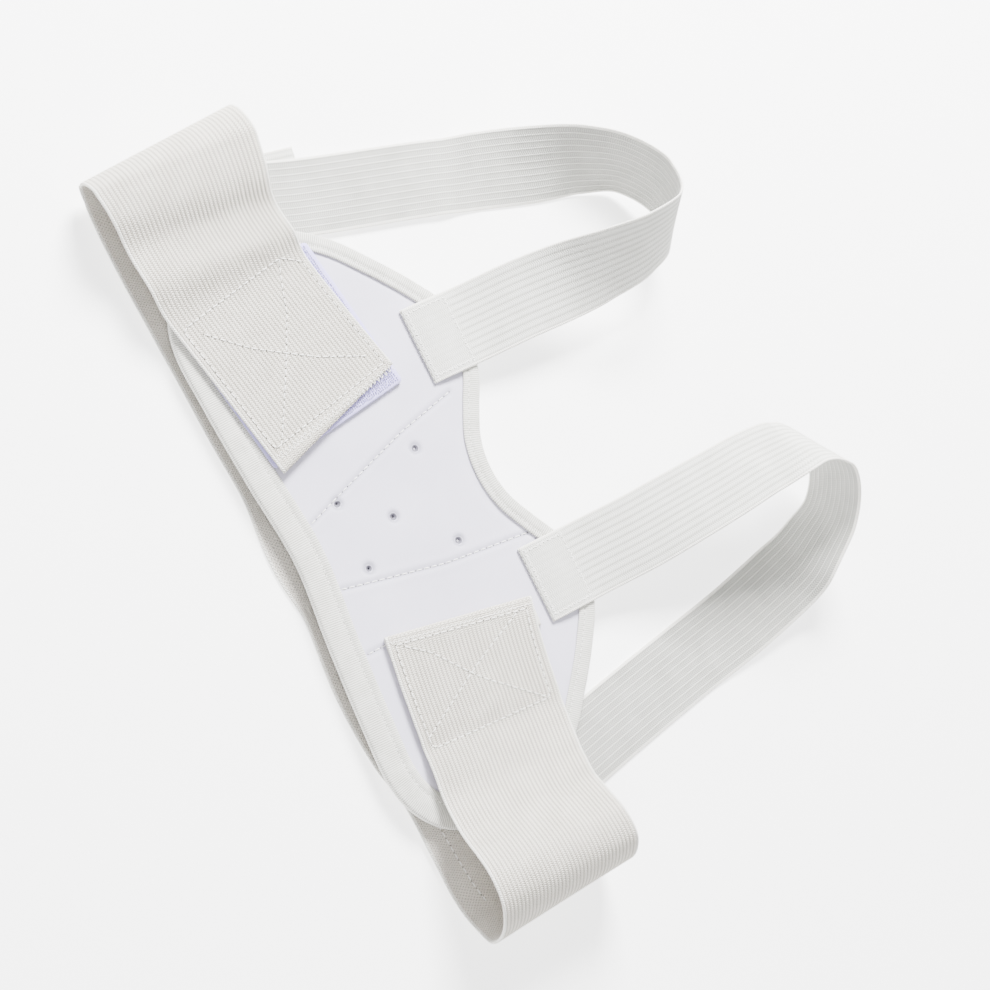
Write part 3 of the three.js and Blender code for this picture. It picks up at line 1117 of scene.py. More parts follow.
# Right half of the panel's rim, from the middle of the waist edge to that of the leg edge: x in
# shares of half the length, y in shares of the depth on its side
OUTLINE = (
    (0, -0.885), (0.28, -0.945), (0.55, -0.99), (0.74, -1), (0.845, -0.93), (0.935, -0.76),
    (0.985, -0.48), (1, -0.16), (0.965, 0.16), (0.885, 0.42), (0.775, 0.63), (0.645, 0.84),
    (0.525, 0.985), (0.41, 1), (0.3, 0.965), (0.2, 0.86), (0.1, 0.765), (0, 0.735),
)

# Air holes: x in shares of their spread, y in shares of the waist depth
HOLES = ((-0.34, -0.386), (0.355, -0.386), (-0.5, 0.413), (0.5, 0.397), (0.01, -0.012))

# The rim is drawn in fine steps and then shared out evenly. The panel's columns stop short of its
# two ends, and are spaced partly evenly and partly closer towards them.
RIM_STEPS = 24
RIM_POINTS = 2400
END_INSET = 0.8
EVEN_SHARE = 0.65

# Far enough from the rim to be clear of the binding's dip, in millimetres
FAR_INSIDE = 30.0
UPRIGHT = (0.0, 0.0, 1.0)

# Panel seams from binding to binding, in millimetres; the last runs on under the lower tab
SEAMS = (
    ((-40.5, 52), (-33.2, 22), (-22, -11), (-12.5, -38)),
    ((34.8, 56), (30.4, 13), (25, -13.6), (19.6, -39)),
    ((51, -41), (51, -31)),
)


@dataclass
class FrontPanel:
    """Foam laminate with two lobes, a notch at the leg side, air holes and sewn seams."""

    bench: Bench
    layers: Layers
    length: float = 290
    waist_depth: float = 58
    leg_depth: float = 72
    hole_spread: float = 47
    hole_radius: float = 2.15
    foam_share: float = 0.2
    columns: int = 300
    rows: int = 128
    edge_line: float = 9.5
    edge_dip: float = 0.25
    seam_dip: float = 0.42
    seam_puff: float = 0.1
    hole_dip: float = 0.55
    highest: float = 0.22
    squeezed_rim: float = 0.4
    stitch_lift: float = 0.22

    def outline(self, count: int) -> tuple[np.ndarray, np.ndarray]:
        """The rim as evenly spaced points.

        Args:
            count: How many points.

        Returns:
            The points and their inward directions.
        """
        depth = {True: self.waist_depth, False: self.leg_depth}
        right = [(x * self.length / 2, y * depth[y < 0], 0.0) for x, y in OUTLINE]
        left = [(-x, y, z) for x, y, z in reversed(right[1:-1])]
        curve = SmoothRows([*right, *left], closed=True)
        steps = [(i, step / RIM_STEPS) for i in range(curve.spans) for step in range(RIM_STEPS)]
        fine = np.array([curve.at(i, share)[:2] for i, share in steps])
        loop = np.concatenate([fine, fine[:1]])
        known = np.concatenate([[0], np.cumsum(np.linalg.norm(np.diff(loop, axis=0), axis=1))])
        wanted = known[-1] * np.arange(count) / count
        points = np.stack([np.interp(wanted, known, column) for column in loop.T], axis=-1)
        along = np.roll(points, -1, axis=0) - np.roll(points, 1, axis=0)
        along /= np.linalg.norm(along, axis=1)[:, None]
        return points, np.stack([-along[:, 1], along[:, 0]], axis=-1)

    def _rise(self, x: np.ndarray, y: np.ndarray, inside: np.ndarray) -> np.ndarray:
        """Shapes the front face: soft swells, pressed seams and hole rims.

        Args:
            x: Places along the belt.
            y: Places from waist to leg side.
            inside: Distances from the panel's rim.

        Returns:
            Heights over the face's flat level.
        """
        rise = 0.09 * np.sin(x / 17 + 0.6) * np.cos(y / 13 - 0.4)
        rise = rise + 0.05 * np.sin(x / 7.3 - y / 9.1)
        rise = rise - self.edge_dip * bell(inside - self.edge_line, 2.2)
        for seam in SEAMS:
            away = from_line(x, y, seam)
            rise = rise - self.seam_dip * bell(away, 1.1) + self.seam_puff * bell(away - 2.6, 1.4)
        for hole_x, hole_y in self.holes:
            away = np.hypot(x - hole_x, y - hole_y)
            rise = rise - self.hole_dip * bell(np.maximum(away - self.hole_radius, 0), 0.9)
        return np.minimum(rise, self.highest)
    @property
    def holes(self) -> list[tuple[float, float]]:
        """Middles of the air holes."""
        return [(x * self.hole_spread, y * self.waist_depth) for x, y in HOLES]

    def _plan(self) -> MeshPlan:
        """Lays the sheet out as columns from the waist edge to the leg edge.

        Returns:
            The panel's points and faces, without its holes.
        """
        rim, _ = self.outline(RIM_POINTS)
        low, high = rim[rim[:, 0].argmax()], rim[rim[:, 0].argmin()]
        split = rim[:, 1] < np.interp(rim[:, 0], [high[0], low[0]], [high[1], low[1]])
        waist, leg = (part[np.argsort(part[:, 0])] for part in (rim[split], rim[~split]))
        turn = np.linspace(-math.pi / 2, math.pi / 2, self.columns)
        reach = self.length / 2 - END_INSET
        column_x = reach * mix(np.sin(turn), turn / (math.pi / 2), EVEN_SHARE)
        bottom = np.interp(column_x, waist[:, 0], waist[:, 1])
        top = np.interp(column_x, leg[:, 0], leg[:, 1])
        share = np.linspace(0, 1, self.rows)
        y = bottom[:, None] + (top - bottom)[:, None] * share[None, :]
        x = np.broadcast_to(column_x[:, None], y.shape)
        inside = np.minimum(np.minimum(y - bottom[:, None], top[:, None] - y), reach - np.abs(x))
        front = self.layers.panel_front + self._rise(x, y, inside)
        front = np.where(inside < self.squeezed_rim, (front + self.layers.panel_back) / 2, front)
        back = np.full_like(front, self.layers.panel_back)
        faces_up = np.stack([x, y, front], axis=-1)
        faces_down = np.stack([x, y, back], axis=-1)[:, -2:0:-1]
        rings = np.concatenate([faces_up, faces_down], axis=1)
        size = rings.shape[1]
        faces = [tuple(face) for face in ring_faces(self.columns, size, closed=False).tolist()]
        faces += end_faces(self.rows, 0) + end_faces(self.rows, (self.columns - 1) * size)
        points = rings.reshape(-1, 3)
        # Painted shade along the seams and round the air holes, kept as one less the ribbed share
        painted_shade = self._painted_shade(points[:, 0], points[:, 1])
        return MeshPlan(points, faces, points[:, :2], np.zeros(len(faces)), 1 - painted_shade)

    def _painted_shade(self, x: np.ndarray, y: np.ndarray) -> np.ndarray:
        """Paints shade on the laminate along the seams and round the holes, where shade falls in
        their dips.

        Args:
            x: Places along the belt.
            y: Places from waist to leg side.

        Returns:
            Shares of the painted shade's colour.
        """
        painted_shade = np.zeros_like(x)
        for seam in SEAMS:
            painted_shade = np.maximum(painted_shade, 0.75 * bell(from_line(x, y, seam), 1.0))
        for hole_x, hole_y in self.holes:
            away = np.hypot(x - hole_x, y - hole_y) - self.hole_radius
            painted_shade = np.maximum(painted_shade, bell(np.maximum(away, 0), 0.9))
        return painted_shade

    def _punch(self, piece: bpy.types.Object, foam: bpy.types.Material) -> None:
        """Punches the air holes, narrower in the foam than at its faces.

        Args:
            piece: The panel.
            foam: Foam of the holes' walls, darkened as painted shade inside the holes.
        """
        low, high = self.layers.panel_back - 1, self.layers.panel_front + 1
        shape = [
            (low, 1), (low + 1.3, 0.6), (low + 2.0, self.foam_share), (high - 2.2, 0.25),
            (high - 1.5, 0.8), (high - 0.9, 1.12), (high, 1.3),
        ]
        ring = np.linspace(0, math.tau, 28, endpoint=False)
        circle = np.stack([np.cos(ring), np.sin(ring)], axis=-1)
        points, faces = [], []
        for middle in self.holes:
            start = len(points) * len(ring)
            for z, share in shape:
                flat = np.array(middle) + circle * self.hole_radius * share
                points.append(np.column_stack([flat, np.full(len(ring), z)]))
            body = ring_faces(len(shape), len(ring), closed=False) + start
            faces += [tuple(face) for face in body.tolist()]
            last = start + (len(shape) - 1) * len(ring)
            faces += [tuple(range(start, start + len(ring))), tuple(range(last, last + len(ring)))]
        flat_points = np.concatenate(points)
        plan = MeshPlan(flat_points, faces, flat_points[:, :2], np.zeros(len(faces)))
        cutter = plan.build("hole_cutter", self.bench, [foam])
        cut = piece.modifiers.new("holes", "BOOLEAN")
        cut.operation = "DIFFERENCE"
        cut.object = cutter
        cut.solver = "EXACT"
        cut.material_mode = "TRANSFER"
        bpy.context.view_layer.objects.active = piece
        bpy.ops.object.modifier_apply(modifier=cut.name)
        bpy.data.objects.remove(cutter, do_unlink=True)

    def build(self, finish: bpy.types.Material, foam: bpy.types.Material, thread: Thread) -> None:
        """Makes the panel with its holes and seams.

        Args:
            finish: Laminate of the faces.
            foam: Foam in the holes, darkened as painted shade.
            thread: Thread of the seams.
        """
        piece = self._plan().build("front_panel_foam", self.bench, [finish])
        self._punch(piece, foam)
        attach(piece, "front_panel")
        LOG.info("panel: %d faces", len(piece.data.polygons))
        lines = []
        for seam in SEAMS:
            flat = polyline(seam)
            rise = self._rise(flat[:, 0], flat[:, 1], np.full(len(flat), FAR_INSIDE))
            height = self.layers.panel_front + rise + self.stitch_lift
            lines.append(np.column_stack([flat, height, np.tile(UPRIGHT, (len(flat), 1))]))
        thread.sew("panel_seam", lines, self.bench)


@dataclass
class EdgeBinding:
    """Knit tape folded over the panel's rim and sewn down along its inner edge."""

    bench: Bench
    layers: Layers
    panel: FrontPanel
    leg_width: float = 7.5
    waist_width: float = 13
    back_width: float = 7
    widen_from: float = -0.35
    widen_to: float = 0.85
    rib_pitch: float = 1.0
    points_per_rib: int = 4
    rib_relief: float = 0.16
    seam_inset: float = 1.2
    seam_share: float = 0.2
    seam_depth: float = 0.22
    seam_allowance: float = 1

    def _widths(self, inward: np.ndarray) -> np.ndarray:
        """Width of the tape on the front at each point of the rim, by its inward direction."""
        share = smoothstep(inward[:, 1], self.widen_from, self.widen_to)
        return mix(self.leg_width, self.waist_width, share)

    def _inset(self, width: float) -> float:
        """How far the seam is from the tape's inner edge."""
        return self.seam_inset + self.seam_share * width

    def _section(self, width: float) -> list[tuple[float, float, float]]:
        """Draws the tape's section.

        Args:
            width: How far the tape reaches in on the front.

        Returns:
            Way in from the rim, height and share of the rib relief of each point.
        """
        low = self.layers.panel_back - self.layers.gap
        high = self.layers.panel_front + self.layers.gap
        thick = self.layers.tape
        reach = self.layers.gap + thick
        top = high + thick
        inner = width - self._inset(width)
        crown = mix(inner, 0.6, 0.5)
        side, far, near = 0.92 * reach, 0.62 * reach, self.layers.gap
        return [
            (width, high, 0), (width + 0.15, high + 0.3, 0.3), (width - 0.1, top - 0.18, 0.6),
            (width - 0.7, top + 0.08, 1), (inner + 0.75, top + 0.1, 1), (inner, top - 0.45, 0.3),
            (inner - 0.6, top - 0.12, 1), (inner - 1.4, top + 0.08, 1), (crown, top + 0.14, 1),
            (2.4, top + 0.1, 1), (1.0, top, 1), (0.1, top - 0.14, 1), (-far, high + 0.5 * thick, 1),
            (-side, high - 0.3, 1), (-reach, (low + high) / 2, 1), (-side, low + 0.3, 1),
            (-far, low - 0.5 * thick, 1), (0.5, low - thick, 1), (self.back_width, low - thick, 0),
            (self.back_width, low, 0), (-near, low, 0), (-near, high, 0),
        ]

    def _around(self, points: np.ndarray) -> float:
        """Length of the rim through evenly spaced points."""
        steps = np.linalg.norm(np.diff(points, axis=0), axis=1)
        return float(steps.sum() * len(points) / (len(points) - 1))

    def _plan(self) -> MeshPlan:
        """Lays the tape round the whole rim.

        Returns:
            The tape's points and faces.
        """
        around = self._around(self.panel.outline(200)[0])
        count = round(around / self.rib_pitch) * self.points_per_rib
        points, inward = self.panel.outline(count)
        widths = self._widths(inward)
        narrow = np.array(self._section(self.leg_width))
        wide = np.array(self._section(self.waist_width))
        share = (widths - self.leg_width) / (self.waist_width - self.leg_width)
        section = mix(narrow, wide, share[:, None, None])
        phase = math.tau * np.arange(count) / self.points_per_rib
        relief = self.rib_relief * (np.cos(phase)[:, None] - 1) / 2 * section[:, :, 2]
        middle = self.layers.panel_front - self.layers.panel / 2
        lift = np.sign(section[:, :, 1] - middle) * relief
        way_in = section[:, :, 0] - relief * (section[:, :, 0] < 0)
        flat = points[:, None] + inward[:, None] * way_in[..., None]
        rings = np.concatenate([flat, (section[:, :, 1] + lift)[..., None]], axis=-1)
        size = rings.shape[1]
        faces = [tuple(face) for face in ring_faces(count, size, closed=True).tolist()]
        weave = np.empty((count, size, 2))
        weave[:, :, 0] = (np.arange(count) * self.rib_pitch / self.points_per_rib)[:, None]
        weave[:, :, 1] = section[:, :, 0]
        return MeshPlan(rings.reshape(-1, 3), faces, weave.reshape(-1, 2), np.zeros(len(faces)))

    def build(self, finish: bpy.types.Material, thread: Thread) -> None:
        """Makes the tape and its seam.

        Args:
            finish: Knit of the tape.
            thread: Thread of the seam.
        """
        piece = self._plan().build("edge_binding_tape", self.bench, [finish])
        attach(piece, "edge_binding")
        points, inward = self.panel.outline(800)
        widths = self._widths(inward)
        place = points + inward * (widths - self._inset(widths))[:, None]
        height = np.full(len(place), self.layers.rim_top - self.seam_depth)
        line = np.column_stack([place, height, np.tile(UPRIGHT, (len(place), 1))])
        lines = [np.concatenate([line, line[:1]])]
        sewn = thread.sew("binding_seam", lines, self.bench)
        across = widths + self.back_width + self.layers.panel + 2 * self.layers.gap


# Waist band from the upper tab's end to the lower tab's end. side says which loop a row belongs
# to. x is side times (panel shares of half the panel + past shares of the overhang). across is a
# share of the panel's waist depth. lift goes from the row's level at 0 to the loop's height at 1.
# turn is the strip's swing in plan in degrees, wide its share of the band's width.
WAIST_ROWS = (
    (-1, 0.586, 0, -0.215, Level.BAND_ON_PATCH, 0, 11.6, 0.975),
    (-1, 0.8, 0, -0.335, Level.BAND_ON_PATCH, 0, 10, 0.97),
    (-1, 0.93, 0, -0.39, Level.BAND_ON_PATCH, 0.17, 6, 0.99),
    (-1, 1, 0.18, -0.425, Level.BAND_ON_PATCH, 0.6, 3, 0.99),
    (-1, 1, 0.5, -0.43, Level.BAND_ON_PATCH, 0.95, 3, 1.04),
    (-1, 1, 0.76, -0.43, Level.BAND_ON_PATCH, 0.97, 5, 1.08),
    (-1, 1, 0.94, -0.435, Level.BAND_ON_PATCH, 0.56, 7, 1.08),
    (-1, 1, 1, -0.44, Level.BAND_ON_TAIL, 0.46, 7, 1.08),
    (-1, 1, 0.93, -0.45, Level.BAND_ON_TAIL, 0.16, 6, 1.06),
    (-1, 1, 0.74, -0.465, Level.BAND_ON_TAIL, 0.02, 4, 1.02),
    (-1, 1, 0.5, -0.48, Level.BAND_ON_TAIL, 0, 2, 1),
    (-1, 0.915, 0, -0.465, Level.BAND_ON_TAIL, 0, -1, 1),
    (-1, 0.75, 0, -0.43, Level.BAND_ON_TABLE, 0, -2, 1),
    (-1, 0.46, 0, -0.4, Level.BAND_ON_TABLE, 0, 0, 1),
    (-1, 0.25, 0, -0.37, Level.BAND_ON_TABLE, 0, 1, 1),
    (-1, 0.02, 0, -0.405, Level.BAND_ON_TABLE, 0, 1, 1),
    (1, 0.16, 0, -0.36, Level.BAND_ON_TABLE, 0, 0, 1),
    (1, 0.45, 0, -0.41, Level.BAND_ON_TABLE, 0, 1, 1),
    (1, 0.65, 0, -0.38, Level.BAND_ON_TABLE, 0, -2, 1),
    (1, 0.8, 0, -0.31, Level.BAND_ON_LEG, 0, -3, 1),
    (1, 1, 0.1, -0.295, Level.BAND_ON_LEG, 0, 0, 1),
    (1, 1, 0.5, -0.29, Level.BAND_ON_LEG, 0.005, 1, 1),
    (1, 1, 0.82, -0.265, Level.BAND_ON_LEG, 0.08, 2, 0.99),
    (1, 1, 0.98, -0.25, Level.BAND_ON_LEG, 0.24, 3, 0.99),
    (1, 1, 0.99, -0.24, Level.BAND_ON_LEG, 0.5, 1, 0.98),
    (1, 1, 0.86, -0.23, Level.BAND_ON_HEM, 0.72, -1, 0.97),
    (1, 1, 0.64, -0.22, Level.BAND_ON_HEM, 0.97, -3, 0.96),
    (1, 1, 0.4, -0.21, Level.BAND_ON_HEM, 0.95, -4, 0.95),
    (1, 1, 0.15, -0.19, Level.BAND_ON_HEM, 0.68, -4, 0.94),
    (1, 0.965, 0, -0.17, Level.BAND_ON_HEM, 0.36, -5, 0.94),
    (1, 0.88, 0, -0.12, Level.BAND_ON_HEM, 0.08, -6, 0.95),
    (1, 0.78, 0, -0.07, Level.BAND_ON_HEM, 0, -7, 0.96),
    (1, 0.52, 0, 0.02, Level.BAND_ON_HEM, 0, -9, 0.98),
)

# Lines sewn on the two waist tabs: distance from the tab's end, distance from its middle line
UPPER_TAB_LINES = (
    ((7, 34), (7, -34), (72, -34), (75, 25), (68, 34), (7, 34)),
    ((75, 25), (52, 12), (32, -6), (6, -31)),
    ((66, -27), (48, -12), (28, 10), (14, 30)),
)
UPPER_TAB_EDGE = tuple((5.4 if k % 2 else 1.0, -36 + 1.2 * k) for k in range(61))
LOWER_TAB_LINES = (
    ((3.5, 33), (3.5, -34), (51, -33), (47.5, 32), (3.5, 33)),
    ((4, 28), (25, -3), (46, -34)),
    ((5, -30), (11, -18), (30, 4), (47, 30)),
)
INNER_SEAM = ((236, -28.8), (205, -27), (184, -25.2))

# Stitches over the tabs' ends go to and fro: nearest, furthest, across from -36 to 36 mm
UPPER_TAB_EDGE, LOWER_TAB_EDGE = (
    tuple((far if k % 2 else near, -36 + 1.2 * k) for k in range(61))
    for near, far in ((1.0, 5.4), (0.8, 3.2))
)

# Swells of the cloth: place along, width, height. The upper ones slant and count from the upper
# tab's end, the lower ones count back from the lower tab's end.
UPPER_SWELLS = ((87, 8, 3.2), (107, 8, -2.4))
LOWER_SWELLS = ((50, 3.5, -0.7), (65, 10, 1.9))

# Creases in the lower tab's box: place from its end, slant, width, middle across, reach, height
CREASES = ((42, 0.5, 3.2, 2, 14, 1.3), (34, 0.4, 3, 6, 12, 0.7))


@dataclass
class WaistBand:
    """Wide elastic: upper tab, loop, back strip, loop, lower tab with its end turned under."""

    bench: Bench
    layers: Layers
    panel: FrontPanel
    width: float = 75
    upper_start: float = 50.5
    lower_start: float = 56
    upper_overhang: float = 51
    lower_overhang: float = 43
    upper_height: float = 27
    lower_height: float = 45
    upper_across: float = -0.076
    lower_across: float = 0.083
    upper_turn: float = 11.6
    lower_turn: float = -9.1
    end_skew: float = 6.2
    skew_reach: float = 24
    hem_length: float = 17
    hem_swing: float = 6
    dense_end: float = 5
    dense_ramp: float = 2
    swell_slant: float = 0.12
    stitch_lift: float = 0.18
    step: float = 2.65

    def ribs(self) -> Ribs:
        """Ribs of the band."""
        return Ribs(width=self.width, thickness=self.layers.band, count=36, selvedge=1.3,
                    shares=(0, 0.2, 0.5, 0.8), groove=0.26, narrow=0.3, inner_line=0.06)

    def _rows(self) -> tuple[tuple[float, ...], ...]:
        """Works out the band's rows from tab to tab.

        Returns:
            The rows in millimetres.
        """
        depth, upright = self.panel.waist_depth, 90
        rows = []
        for side, panel, past, across, level, lift, turn, wide in WAIST_ROWS:
            overhang = self.upper_overhang if side < 0 else self.lower_overhang
            height = self.upper_height if side < 0 else self.lower_height
            x = side * (panel * self.panel.length / 2 + past * overhang)
            low = mix(self.layers.middle(level), height, lift)
            rows.append((x, across * depth, low, upright + turn, 0, wide * self.width))
        first, last = (
            (x, across * depth, self.layers.middle(level), upright + turn, 0, self.width)
            for x, across, level, turn in (
                (-self.upper_start, self.upper_across, Level.BAND_ON_PATCH, self.upper_turn),
                (self.lower_start, self.lower_across, Level.BAND_ON_HEM, self.lower_turn),
            )
        )
        return (first, *rows, last)

    def build(
        self, outer: bpy.types.Material, inner: bpy.types.Material, thread: Thread, edging: Thread
    ) -> None:
        """Makes the band and the stitching on its tabs.

        Args:
            outer: Finish of the outer face.
            inner: Finish of the inner face, darkened with painted shade.
            thread: Thread of the boxes on the tabs.
            edging: Thread that keeps the tabs' ends from fraying.
        """
        open_run = StripPath(self._rows(), self.step).run()
        left = np.clip(1 - open_run.along / self.skew_reach, 0, 1)
        open_run.skew = np.degrees(np.arctan(math.tan(math.radians(self.end_skew)) * left))
        fold = TurnBack((self.layers.band + self.layers.gap) / 2, self.hem_length, self.hem_swing)
        run = fold.add(open_run)
        tab_end = open_run.length - self.dense_end
        ribbed = smoothstep(run.along, self.dense_end, self.dense_end + self.dense_ramp)
        ribbed = ribbed * (1 - smoothstep(run.along, tab_end - self.dense_ramp, tab_end))

        def swell(along: np.ndarray, place: np.ndarray) -> np.ndarray:
            """Swells of the cloth, none of them on the turned end."""
            return self._swell(open_run.length, along, place)

        plan = self.ribs().plan(run, True, ribbed, swell)
        piece = plan.build("waist_band_elastic", self.bench, [outer, inner])
        attach(piece, "waist_band")
        lines = [self._sewn(open_run, line, False) for line in UPPER_TAB_LINES]
        lines += [self._sewn(open_run, line, True) for line in LOWER_TAB_LINES]
        lines.append(self._sewn(open_run, INNER_SEAM, True, inner=True))
        sewn = thread.sew("waist_tab", lines, self.bench)
        ends = [self._sewn(open_run, UPPER_TAB_EDGE, False),
                self._sewn(open_run, LOWER_TAB_EDGE, True)]
        sewn += edging.sew("waist_tab_edging", ends, self.bench)
        self.width * MM
        run.length * MM
        LOG.info("waist band: %.0f mm long", run.length)

    def _swell(self, length: float, along: np.ndarray, place: np.ndarray) -> np.ndarray:
        """Shapes the soft swells beyond the sewn boxes and the small creases inside them.

        Args:
            length: Length of the band up to its turned end.
            along: Distances from the upper tab's end.
            place: Places across the band.

        Returns:
            How much the cloth rises.
        """
        from_end = length - along
        slanted = along + self.swell_slant * place
        swell = sum(rise * bell(slanted - spot, wide) for spot, wide, rise in UPPER_SWELLS)
        swell = swell + sum(rise * bell(from_end - spot, wide) for spot, wide, rise in LOWER_SWELLS)
        for spot, slant, wide, middle, reach, rise in CREASES:
            crease = bell(from_end - spot + slant * place, wide) * bell(place - middle, reach)
            swell = swell + rise * crease
        return swell * (from_end > 0)

    def _sewn(
        self, run: Run, line: Sequence[tuple[float, float]], from_end: bool, inner: bool = False
    ) -> np.ndarray:
        """Lays a sewn line on the band.

        Args:
            run: The band's sections up to its turned end.
            line: Corners: distance from the tab's end and from its middle line.
            from_end: Whether the tab is the lower one, at the band's far end.
            inner: Whether the line is on the inner face.

        Returns:
            The line's points with the cloth's normal beside them.
        """
        flat = polyline(line)
        along = run.length - flat[:, 0] if from_end else flat[:, 0]
        share = flat[:, 1] / self.width
        side = -1 if inner else 1
        top = side * (self.layers.band / 2 + self.stitch_lift)
        points = run.place(along, share, np.full(len(flat), top))
        above = run.place(along, share, np.full(len(flat), top + side))
        normal = above - points
        points[:, 2] += self._swell(run.length, along, flat[:, 1])
        return np.column_stack([points, normal])


@dataclass
class HookPatch:
    """Lilac hook tape under the upper tab: a backing sheet covered with small hooks."""

    bench: Bench
    layers: Layers
    panel: FrontPanel
    length: float = 78
    width: float = 76
    place: float = -0.596
    across: float = -0.193
    turn: float = 9.5
    backing: float = 0.75
    hook_pitch: float = 1.05
    hook_width: float = 0.42
    corner: float = 2.0
    bare_rim: float = 1.4
    seed: int = 11

    def _spot(self, flat: np.ndarray, height: np.ndarray) -> np.ndarray:
        """Moves points from the patch's own plane to the panel's frame.

        Args:
            flat: Places from the patch's middle.
            height: Heights of the points.

        Returns:
            One point a row.
        """
        turn = math.radians(self.turn)
        spin = np.array([[math.cos(turn), math.sin(turn)], [-math.sin(turn), math.cos(turn)]])
        half_length, waist = self.panel.length / 2, self.panel.waist_depth
        middle = np.array([self.place * half_length, self.across * waist])
        return np.column_stack([flat @ spin + middle, height])

    def build(self, finish: bpy.types.Material, hooks: bpy.types.Material) -> None:
        """Makes the backing and its hooks.

        Args:
            finish: Finish of the backing.
            hooks: Finish of the hooks.
        """
        low = self.layers.patch_top - self.layers.patch
        half = np.array([self.length, self.width]) / 2
        bend = np.linspace(0, math.pi / 2, 6)
        arc = np.stack([np.cos(bend), np.sin(bend)], axis=-1) * self.corner
        corners = []
        for quarter, sign in enumerate(((1, 1), (-1, 1), (-1, -1), (1, -1))):
            turned = arc if quarter % 2 == 0 else arc[::-1]
            corners.append(np.array(sign) * (half - self.corner + turned))
        outline = np.concatenate(corners)
        size = len(outline)
        rings = []
        top = self.backing
        for inset, rise in ((1.2, 0), (0.1, 0.1), (0, 0.4), (0.15, top), (1.2, top - 0.1)):
            shrunk = outline * (1 - inset / half)
            rings.append(self._spot(shrunk, np.full(size, low + rise)))
        faces = [tuple(face) for face in ring_faces(len(rings), size, closed=False).tolist()]
        last = (len(rings) - 1) * size
        faces += [tuple(range(size)), tuple(range(last, last + size))]
        points = np.concatenate(rings)
        plan = MeshPlan(points, faces, points[:, :2], np.zeros(len(faces)))
        sheet = plan.build("waist_hook_sheet", self.bench, [finish])
        attach(sheet, "waist_hook_patch")
        nap = self._hooks(low + self.backing - 0.1, hooks)
        attach(nap)
        self.width * MM
        self.length * MM
        LOG.info("hook patch: %d hook faces", len(nap.data.polygons))

    def _hooks(self, foot: float, finish: bpy.types.Material) -> bpy.types.Object:
        """Plants rows of small bent hooks on the backing.

        Args:
            foot: Height of the hooks' feet.
            finish: Finish of the hooks.

        Returns:
            The hooks, one piece.
        """
        rng = np.random.default_rng(self.seed)
        reaches = (side / 2 - self.bare_rim for side in (self.length, self.width))
        xs, ys = (np.arange(-reach, reach + 0.1, self.hook_pitch) for reach in reaches)
        grid = np.stack(np.meshgrid(xs, ys, indexing="ij"), axis=-1).reshape(-1, 2)
        grid = grid + rng.uniform(-0.2, 0.2, grid.shape)
        lean = rng.uniform(0.1, 0.35, len(grid))
        height = self.layers.patch_top - foot
        square = np.array([(-1, -1), (1, -1), (1, 1), (-1, 1)]) * self.hook_width / 2
        points = []
        for share, wide, shove in ((0, 1, 0), (0.6, 0.8, 0.4), (1, 1.2, 1)):
            flat = grid[:, None] + square[None] * wide
            flat = flat + np.stack([lean * shove, 0 * lean], axis=-1)[:, None]
            level = np.full(flat.shape[:2], foot + height * share)
            points.append(self._spot(flat.reshape(-1, 2), level.ravel()).reshape(len(grid), 4, 3))
        body = np.concatenate(points, axis=1)
        pattern = ring_faces(3, 4, closed=False).tolist() + [[0, 1, 2, 3], [8, 9, 10, 11]]
        faces = repeated(pattern, 12, len(grid))
        flat_points = body.reshape(-1, 3)
        plan = MeshPlan(flat_points, faces, flat_points[:, :2], np.zeros(len(faces)))
        return plan.build("waist_hook_nap", self.bench, [finish])


# Leg straps from the tab on the lobe to the end under the band. out is a share of the spread,
# panel of the panel's leg depth, past of the reach. lean tips the outer rim up, in degrees.
LEFT_LEG_ROWS = (
    (0, 1, 0.02, Level.LEG_ON_RIM, 0, 0, 0),
    (0, 1, 0.2, Level.LEG_ON_RIM, 0.3, 0, 3),
    (-0.01, 1, 0.4, Level.LEG_ON_RIM, 0.42, -3, 16),
    (-0.027, 1, 0.59, Level.LEG_ON_RIM, 0.62, -6, 38),
    (-0.026, 1, 0.77, Level.LEG_ON_RIM, 0.92, -8, 50),
    (0.03, 1, 0.91, Level.LEG_ON_RIM, 0.75, -8, 55),
    (0.21, 1, 0.97, Level.LEG_ON_TABLE, 0.38, -4, 60),
    (0.4, 1, 0.89, Level.LEG_ON_TABLE, 0.1, 4, 55),
    (0.51, 1, 0.75, Level.LEG_ON_TABLE, 0.02, 10, 36),
    (0.59, 1, 0.57, Level.LEG_ON_TABLE, 0, 12, 16),
    (0.67, 1, 0.37, Level.LEG_ON_TABLE, 0, 13, 4),
    (0.74, 1, 0.14, Level.LEG_ON_TAIL, 0, 14, 0),
    (0.87, 0.43, 0, Level.LEG_ON_TAIL, 0, 14, 0),
    (0.945, 0.06, 0, Level.LEG_ON_TAIL, 0, 14, 0),
    (1, -0.28, 0, Level.LEG_ON_TAIL, 0, 14, 0),
)
